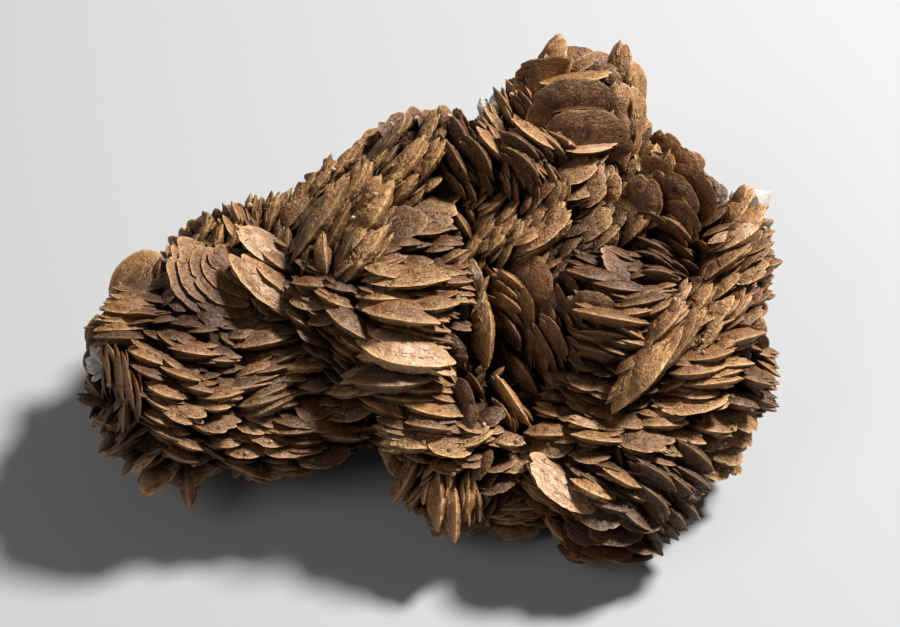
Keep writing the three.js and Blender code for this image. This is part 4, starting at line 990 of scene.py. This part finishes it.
# South: the siderite scales of the lowest foot with one large pale tile, and a bunch of spindles that hangs
# from the edge.
raise_crystals(
    "crystals_south",
    chiefs=(
        (17.4, -29, -41, 40, 7.2, "pearly", "tile"), (15.4, -27.4, -44, 17, 4.6, "sandy", "leaf"),
        (17.6, -35.4, -46, 16, 3.8, "sandy", "leaf"), (19.6, -37.6, -60, 30, 3, "amber", "shell"),
        (22.4, -36.2, -10, 40, 4.2, "umber", "scale"), (27, -36, 0, 40, 4.6, "umber", "scale"),
        (24.4, -33.4, 0, 44, 4.4, "umber", "scale"), (29.6, -34, -16, 42, 4.2, "umber", "scale"),
        (25, -38.6, -4, 30, 4.8, "ember", "scale"), (29.8, -37.4, -20, 30, 4, "ember", "scale"),
        (20.8, -38, -30, 32, 3.8, "ember", "scale"), (23, -39.4, 0, 20, 3.6, "amber", "scale"),
        (27.6, -39.6, -10, 20, 3.6, "amber", "scale"), (9, -20.9, -12, 15, 3.3, "sugary", "leaf"),
        (12.2, -21.6, 14, 32, 3.2, "sugary", "scale"), (17, -21.8, 12, 38, 3.8, "plain", "scale"),
        (14.6, -23.2, 8, 35, 3.2, "plain", "scale"), (10, -24.8, 0, 32, 3.4, "sugary", "scale"),
        (8, -27.8, 20, 36, 3.6, "dark", "shell"), (12.6, -26.8, -10, 17, 3.6, "sugary", "leaf"),
        (11, -31.4, 0, 10, 4.4, "slaty", "blade"), (9.6, -33, -4, 8, 4, "slaty", "blade"),
        (6.4, -31, 70, 30, 3.6, "dark", "shell"), (7.4, -31.8, 8, 36, 3.8, "brown", "shell"),
        (12, -32.2, -10, 34, 3.6, "dark", "scale"), (9.8, -33.4, 0, 24, 3.2, "brown", "scale"),
        (14.8, -31.4, -24, 34, 3.4, "dark", "scale"), (-1.6, -30, 88, 12, 5.2, "sandy", "spindle"),
        (0.9, -31.8, 91, 8, 5.4, "sandy", "spindle"), (3, -29.4, 84, 8, 4.4, "sandy", "spindle"),
        (-3.6, -27.6, 80, 12, 3.4, "sandy", "leaf"), (4.4, -30.4, 95, 8, 3.4, "brown", "blade"),
        (-6.8, -26.6, 61, 7, 4.6, "plain", "leaf"), (-5, -28.2, 50, 7, 3.7, "plain", "leaf"),
        (-6.6, -30.2, 60, 5, 2.8, "amber", "leaf"), (-9.4, -24.8, 118, 9, 2.8, "dark", "leaf"),
        (-11.4, -22.8, 130, 9, 2.8, "dark", "leaf"), (-6, -21.2, 0, 17, 5, "sugary", "leaf"),
        (-0.2, -22, -10, 34, 3.9, "sugary", "scale"), (4, -20.6, 22, 24, 3.2, "sugary", "leaf"),
        (5.4, -24.8, 60, 32, 3.2, "dark", "scale"), (-14.8, -22, 20, 15, 3.4, "plain", "leaf"),
        (-17.6, -22.2, 0, 17, 3.6, "dark", "leaf"),
    ),
    fans=(
        ((9, -24), (17.5, -31), (0, -40), (22, 22), (4.6, 6), "plain", "book"),
        ((24, -27), (27, -31), (-24, -20), (9, 9), (4.2, 4), "umber", "book"),
        ((20, -35), (31, -35), (-14, -10), (38, 38), (4.4, 4.4), "umber", "scale"),
        ((11, -32), (5.5, -28), (0, 75), (10, 19), (4.4, 4.2), "dark", "book"),
        ((-2.4, -28), (2.8, -30), (86, 90), (4, 3), (4.8, 4.8), "plain", "book"),
        ((-8, -25), (-3.5, -27), (64, 50), (8, 7), (4.4, 3.8), "plain", "book"),
        ((-12, -20), (4, -23), (0, -8), (27, 33), (4.6, 4), "plain", "scale"),
    ),
    seeds=(350, 1039),
)

# Small crystals between the books and fans of the show face. They lie as their nearest fan does, but
# deeper, and leave the bare root in sight only in the hollow of the middle.
FILL_HOLD = 0.42
FILL_UP = (-38, 46)  # the stretch of the show face that they are in
FILL_ACROSS = (-60, 55)
FILL_STEP = 2.9  # how far apart they are
FILL_SEED = 1114
CORE_AT = (5.2, -15.5)  # the hollow
CORE_SIZE = 2.2
LOWEST = 3  # none of them lies below this height
between = Bed()
cells = itertools.product(np.arange(*FILL_UP, FILL_STEP), np.arange(*FILL_ACROSS, FILL_STEP))
for seed, (up, across) in enumerate(cells, FILL_SEED):
    dice = np.random.default_rng(seed)
    spot = np.array([across + dice.uniform(-1.4, 1.4), up + dice.uniform(-1.4, 1.4)])
    middle, sight, met = place_on_face(*spot)
    if not met or middle[2] < LOWEST or np.hypot(*(spot - CORE_AT)) < CORE_SIZE:
        continue
    near = math.inf
    for start, end, *rest in rows:
        line = np.subtract(end, start)
        along = float(np.clip((spot - start) @ line / max(line @ line, 1e-6), 0, 1))
        miss = np.linalg.norm(start + along * line - spot)
        if miss < near:
            near, share, (heading, opening, _, skin, _) = miss, along, rest
    edge, normal = facing(
        heading[0] + (heading[1] - heading[0]) * share + dice.uniform(-14, 14),
        opening[0] + (opening[1] - opening[0]) * share + dice.uniform(-12, 12),
    )
    size = dice.uniform(2.0, 3.4)
    middle = settle(middle, sight, normal, size, FILL_HOLD)
    grow(between, middle, normal, edge, size, "book", skin_of(skin, dice), dice, 0)
between.put_up("crystals_between", crystal_finish, "siderite", "siderite")
beds.append(between)

# Crystals of the back, sides and underside: the same lenses all over the root, except on the broken foot,
# where they were lost. Their edges turn slowly from place to place, so that they stand in rows and fans
# here too.
BACK_SPACING = 3.25
BACK_HOLD = 0.62
BACK_SEED = 2274
COVERED = 0.985  # what lies deeper than this in another lobe has no crystal
SHOW_EDGE = 0.12  # what looks more than this to the front is the show face
UNDERSIDE = 4  # the broken foot reaches this high
LIE_TURN = 200  # how far the rows turn, in degrees, and how far their crystals lean
LIE_TILT = 34
LIE_WAVES = ((21, 8), (16, 9))  # size and seed of the waves in which they do
SKIN_WAVES = (12, 10)  # and of those in which their skins change
BACK_SIZES = (2.5, 4.3)
BACK_SPLIT = 3.2  # a crystal larger than this has a smaller one split off it
NEAR_FACE = -0.4  # what looks more than this to the front is near the show face, with smaller crystals
NEAR_SIZE = 0.8
BACK_SKINS = ("plain", "sandy", "slaty", "plain", "sugary", "amber", "plain", "sandy")


def lie_on_root(place, outward, dice):
    """The edge and the normal of a crystal away from the show face, which turn slowly from place to place."""
    turn, tilt = (lumps(place[None], *wave)[0] for wave in LIE_WAVES)
    side = unit(np.cross([0.3, 0.1, 1.0], outward))
    side = turned(side, outward, LIE_TURN * turn + dice.uniform(-14, 14))
    edge = np.cross(side, outward)
    return edge, turned(side, edge, LIE_TILT * tilt + dice.uniform(-9, 9))


upper = Bed()
lower = Bed()
seed = BACK_SEED
for at, size in zip(LOBE_AT, LOBE_SIZE):
    x, y, z = size
    spots = round(4 * math.pi * (x * y + y * z + z * x) / 3 / BACK_SPACING**2)
    for spot in range(spots):
        height = 1 - 2 * (spot + 0.5) / spots
        ring = math.sqrt(1 - height * height)
        angle = spot * math.pi * (3 - math.sqrt(5))
        direction = np.array([ring * math.cos(angle), ring * math.sin(angle), height])
        middle = at + direction * size
        outward = unit(direction / size)
        inside = np.linalg.norm((middle - LOBE_AT) / LOBE_SIZE, axis=1)
        if outward @ OUT > SHOW_EDGE or middle[2] < UNDERSIDE or (inside < COVERED).any():
            continue
        dice = np.random.default_rng(seed)
        seed += 1
        edge, normal = lie_on_root(middle, outward, dice)
        kind = lumps(middle[None], *SKIN_WAVES)[0]
        skin = BACK_SKINS[int(len(BACK_SKINS) * (kind + 1) / 2 - 1e-6)]
        radius = dice.uniform(*BACK_SIZES) * (NEAR_SIZE if outward @ OUT > NEAR_FACE else 1)
        middle = settle(middle + edge * dice.uniform(-1, 1), outward, normal, radius, BACK_HOLD)
        bed = upper if middle[2] > at[2] else lower
        grow(bed, middle, normal, edge, radius, "leaf", skin_of(skin, dice), dice, int(radius > BACK_SPLIT))
upper.put_up("crystals_back", crystal_finish, "siderite", "siderite")
lower.put_up("crystals_underside", crystal_finish, "siderite", "siderite")
beds += [upper, lower]

# Small crystals in the last gaps, wherever the root still lies bare between the others, as they do in such
# a growth all round. The hollow of the middle and the broken foot stay open.
GAP = 1.5  # the root is bare where no crystal is nearer than this
GAP_STEP = 2.0  # how far apart these crystals are at the least
GAP_FOOT = 3.2  # none stands lower than this
GAP_LIFT = 0.3  # how far the middle of one lies above the root, of its half length
GAP_SEED = 5
HOLLOW_SIZE = 4
FAR = 9  # how far away a crystal is looked for


def skin_tree(bed):
    """The skin of a bed's crystals, to find what is near a place or on a line."""
    sides = np.concatenate(bed.quads).tolist() + np.concatenate(bed.threes).tolist()
    return BVHTree.FromPolygons(np.concatenate(bed.points).tolist(), sides)


gaps = Bed()
skins = [skin_tree(bed) for bed in beds]
dice = np.random.default_rng(GAP_SEED)
taken = []
for k in dice.permutation(np.lexsort(np.round(root_points, 1).T)):
    spot, outward = root_points[k], root_normals[k]
    over = spot - SHOW_MIDDLE
    in_hollow = over @ OUT > 0 and math.dist((over @ ACROSS, over @ UP), CORE_AT) < HOLLOW_SIZE
    if spot[2] < GAP_FOOT or in_hollow or any(math.dist(spot, other) < GAP_STEP for other in taken):
        continue
    reach = [skin.find_nearest(spot.tolist(), FAR)[3] for skin in skins]
    if any(away is not None and away < GAP for away in reach):
        continue
    taken.append(spot)
    edge, normal = lie_on_root(spot, outward, dice)
    radius = dice.uniform(2.0, 3.0)
    middle = spot + GAP_LIFT * radius * outward
    grow(gaps, middle, normal, edge, radius, "leaf", skin_of("brown", dice), dice, 0)
gaps.put_up("crystals_in_gaps", crystal_finish, "siderite", "siderite")
beds.append(gaps)

# The quartz clusters: small six-sided points with steep tips, clear at the west end and on the north rim
# and milky at the east end. Each grew on the root between the siderite, with its foot in it.
QUARTZ_INDEX = 1.54
QUARTZ_FOOT = 3.5  # how deep a chief point stands in the root
QUARTZ_SMALL = 2.2  # how far up from there the small points around it start
QUARTZ_ROUND = 4  # how many of those there are
QUARTZ_RISE = 0.6  # how far the chief points rise out of the face, against 1 along their heading
QUARTZ_APART = 0.6  # how far those of one cluster lean apart, in radians
QUARTZ_SHARP = math.radians(20)
QUARTZ_SEED = 2993
quartz_finish, shader, shade, place = new_finish("clear quartz")
veil = shade.noise(place, 0.0012, 3)
link(
    shader,
    Roughness=0.04 + 0.25 * veil.spread(0.5, 0.75),
    Normal=shade.bump(shade.noise(place, 0.0006, 2), 0.00008),
)
shader.inputs["Base Color"].default_value = (0.95, 0.94, 0.91, 1)
shader.inputs["Transmission Weight"].default_value = 0.6
shader.inputs["IOR"].default_value = QUARTZ_INDEX

milky_finish, shader, shade, place = new_finish("milky quartz")
veil = shade.noise(place, 0.0012, 3)
link(
    shader,
    Base_Color=shade.colour(veil, (0.90, 0.89, 0.86, 1), (0.72, 0.69, 0.64, 1)),
    Roughness=0.12 + 0.3 * veil.spread(0.4, 0.7),
    Normal=shade.bump(shade.noise(place, 0.0006, 2), 0.00008),
)
shader.inputs["Transmission Weight"].default_value = 0.35
shader.inputs["IOR"].default_value = QUARTZ_INDEX

# Each cluster: its place and heading on the show face, its finish, and the radius and length of its chief
# points.
CLUSTERS = {
    "quartz_west": ((-55.4, -8.6), 160, quartz_finish, ((1.15, 8.4), (0.95, 7.8), (0.8, 7.2))),
    "quartz_east": ((47.4, 18.2), 70, milky_finish, ((1.9, 10.8), (1.5, 9.8), (1.1, 8.4))),
    "quartz_rim": ((5, 32), 90, quartz_finish, ((1.3, 10), (1.1, 9))),
}


def quartz_point(points, faces, foot, aim, radius, length, dice):
    """One six-sided point with a six-faced tip, a little uneven."""
    side = unit(np.cross(aim, [0.3, 0.2, 1.0]))
    other = np.cross(aim, side)
    first = sum(len(part) for part in points)
    angle = np.arange(6) * math.pi / 3 + dice.uniform(0, 1)
    wide = radius * dice.uniform(0.88, 1.08, 6)
    across = wide[:, None] * (np.cos(angle)[:, None] * side + np.sin(angle)[:, None] * other)
    shoulder = length - 1.15 * radius * dice.uniform(0.85, 1.1, 6)
    off = 0.12 * radius * (dice.uniform(-1, 1) * side + dice.uniform(-1, 1) * other)
    points.append(np.concatenate([
        [foot],
        foot + across,
        foot + across * 0.97 + shoulder[:, None] * aim,
        [foot + length * aim + off],
    ]))
    for k in range(6):
        after = (k + 1) % 6
        faces.append([first, first + 1 + after, first + 1 + k])
        faces.append([first + 1 + k, first + 1 + after, first + 7 + after])
        faces.append([first + 1 + k, first + 7 + after, first + 7 + k])
        faces.append([first + 7 + k, first + 7 + after, first + 13])


for seed, (name, (spot, heading, finish, lengths)) in enumerate(CLUSTERS.items(), QUARTZ_SEED):
    dice = np.random.default_rng(seed)
    points, faces = [], []
    side = math.cos(math.radians(heading)) * ACROSS + math.sin(math.radians(heading)) * UP
    for index, (radius, length) in enumerate(lengths):
        spread = index - (len(lengths) - 1) / 2
        aim = unit(turned(side + QUARTZ_RISE * OUT, OUT, math.degrees(spread * QUARTZ_APART)))
        foot = settle(*place_on_face(*spot)[:2], aim, 0, 0) - QUARTZ_FOOT * aim
        quartz_point(points, faces, foot, aim, radius, length, dice)
        for _ in range(QUARTZ_ROUND):
            lean = turned(turned(aim, side, dice.uniform(-40, 40)), OUT, dice.uniform(-40, 40))
            thin = radius * dice.uniform(0.45, 0.7)
            start = foot + QUARTZ_SMALL * aim
            quartz_point(points, faces, start, unit(lean), thin, dice.uniform(2.8, 5), dice)
    piece = put_up(name + "_points", np.concatenate(points), [np.array(faces)], {}, finish, "quartz", name)
    piece.data.set_sharp_from_angle(angle=QUARTZ_SHARP)

# Grains strewn on the crystals: three tiny quartz points each, dusted with rust, which stand where a line
# of sight meets the crystals. They are given by their place on the show face and their size.
GRAINS = (
    (5.5, -18, 0.42), (10.8, -20.7, 0.4), (10, -23.4, 0.36), (16, -21.2, 0.34), (-8, -21.5, 0.36),
    (-4.3, -21, 0.42), (0, -22, 0.38), (0.5, -26, 0.36), (-41.5, -24.5, 0.34), (-33, -22.7, 0.36),
    (-29, -20.8, 0.3), (-37.3, -18.3, 0.34), (-13, -21.3, 0.34), (-12, 19.3, 0.36), (-15.5, 15.5, 0.34),
    (-19, 23.3, 0.42), (41, -4.5, 0.34), (41, -6.3, 0.32), (30.5, 23.3, 0.34), (36.5, 2.2, 0.36),
    (51, 13.6, 0.5), (-58.5, -8, 0.5), (-56.5, -5.5, 0.55), (-57, -8, 0.42), (-55, -11.5, 0.45),
    (44.5, -21, 0.32), (42.8, -23.5, 0.34), (45.8, -18.6, 0.3), (-32.5, 17.5, 0.5), (-9.5, 30.5, 0.5),
    (-5.5, 31.5, 0.5), (0, 32, 0.45), (10, 35.4, 0.5), (22, 27.8, 0.34), (19.4, 27.6, 0.3),
)
GRAIN_SEED = QUARTZ_SEED + len(CLUSTERS)
GRAIN_LEAN = 0.8  # how far a grain leans to the front, against 1 straight out of the crystal under it
GRAIN_FOOT = 0.4  # how deep its points stand in that crystal, and how long they are, of their radius
GRAIN_LENGTH = 2.4
OUTSIDE = 30  # how far out a line of sight starts
dusty_finish, shader, shade, place = new_finish("dusty quartz")
veil = shade.noise(place, 0.0004, 3)
link(
    shader,
    Base_Color=shade.colour(veil.spread(0.35, 0.65), (0.62, 0.50, 0.36, 1), (0.34, 0.22, 0.12, 1)),
    Roughness=0.30 + 0.3 * veil,
    Normal=shade.bump(veil, 0.00008),
)
shader.inputs["Transmission Weight"].default_value = 0.25
shader.inputs["IOR"].default_value = QUARTZ_INDEX
points, faces = [], []
skins = [skin_tree(bed) for bed in beds]
dice = np.random.default_rng(GRAIN_SEED)
for across, up, radius in GRAINS:
    far, sight, _ = place_on_face(across, up)
    hits = [skin.ray_cast((far + OUTSIDE * sight).tolist(), (-sight).tolist()) for skin in skins]
    hits = [hit for hit in hits if hit[0] is not None]
    if not hits:  # no crystal lies on this line
        continue
    ground, lean, _, _ = min(hits, key=lambda hit: hit[3])
    aim = unit(np.array(lean) + GRAIN_LEAN * OUT + dice.uniform(-0.3, 0.3, 3))
    for small in range(3):
        side = unit(aim + dice.uniform(-0.7, 0.7, 3) * (small > 0))
        size = radius * (1 if small == 0 else dice.uniform(0.5, 0.8))
        foot = np.array(ground) - GRAIN_FOOT * size * side
        quartz_point(points, faces, foot, side, size, GRAIN_LENGTH * size, dice)
grains = np.concatenate(points)
piece = put_up("quartz_grains", grains, [np.array(faces)], {}, dusty_finish, "quartz", "quartz_rim")
piece.data.set_sharp_from_angle(angle=QUARTZ_SHARP)

# The floor: a plain pale matt board under the specimen, which only catches its shadow. It is part of the
# stage and not of the specimen.
floor_finish, shader, _, _ = new_finish("pale board")
shader.inputs["Base Color"].default_value = (0.34, 0.35, 0.37, 1)
shader.inputs["Roughness"].default_value = 0.9
board = bpy.data.meshes.new("floor board")
board.from_pydata([(-2, -2, 0), (2, -2, 0), (2, 2, 0), (-2, 2, 0)], [], [(0, 1, 2, 3)])
floor = bpy.data.objects.new("floor", board)
floor.data.materials.append(floor_finish)
bpy.context.scene.collection.objects.link(floor)


# Light: one soft box high behind the right shoulder of the specimen, a weak one on the left and a little
# light from all round, as in a plain studio.
def soft_box(name, at, aim, size, power, colour):
    lamp = bpy.data.lights.new(name, "AREA")
    lamp.shape = "DISK"
    lamp.size = size
    lamp.energy = power
    lamp.color = colour
    box = bpy.data.objects.new(name, lamp)
    box.location = at
    box.rotation_euler = (Vector(aim) - Vector(at)).to_track_quat("-Z", "Y").to_euler()
    bpy.context.scene.collection.objects.link(box)


soft_box("key light", (0.44, 0.24, 0.68), (0, 0, 0.025), 0.16, 17, (1.0, 0.97, 0.92))
soft_box("fill light", (-0.45, -0.30, 0.55), (0, 0, 0.025), 0.40, 1.3, (1.0, 0.96, 0.90))
room = bpy.data.worlds.new("studio")
room.use_nodes = True
room.node_tree.nodes["Background"].inputs["Color"].default_value = (1.0, 0.92, 0.83, 1)
room.node_tree.nodes["Background"].inputs["Strength"].default_value = 0.10
bpy.context.scene.world = room
bpy.context.scene.view_settings.view_transform = "Standard"

# The camera stands straight in front of the show face, and a little floor shows around the specimen. It is as
# far away as the lines of sight above take it to be.
SENSOR = 36
VIEW_WIDTH = 145.8  # of what it sees at the middle of the specimen
lens = bpy.data.cameras.new("camera")
lens.sensor_width = SENSOR
lens.lens = SENSOR * SHOW_DISTANCE / VIEW_WIDTH
lens.clip_start = 0.01
camera = bpy.data.objects.new("camera", lens)
camera.location = (SHOW_MIDDLE + SHOW_DISTANCE * OUT) * MM
camera.rotation_euler = Vector(-OUT).to_track_quat("-Z", "Y").to_euler()
bpy.context.scene.collection.objects.link(camera)
bpy.context.scene.camera = camera
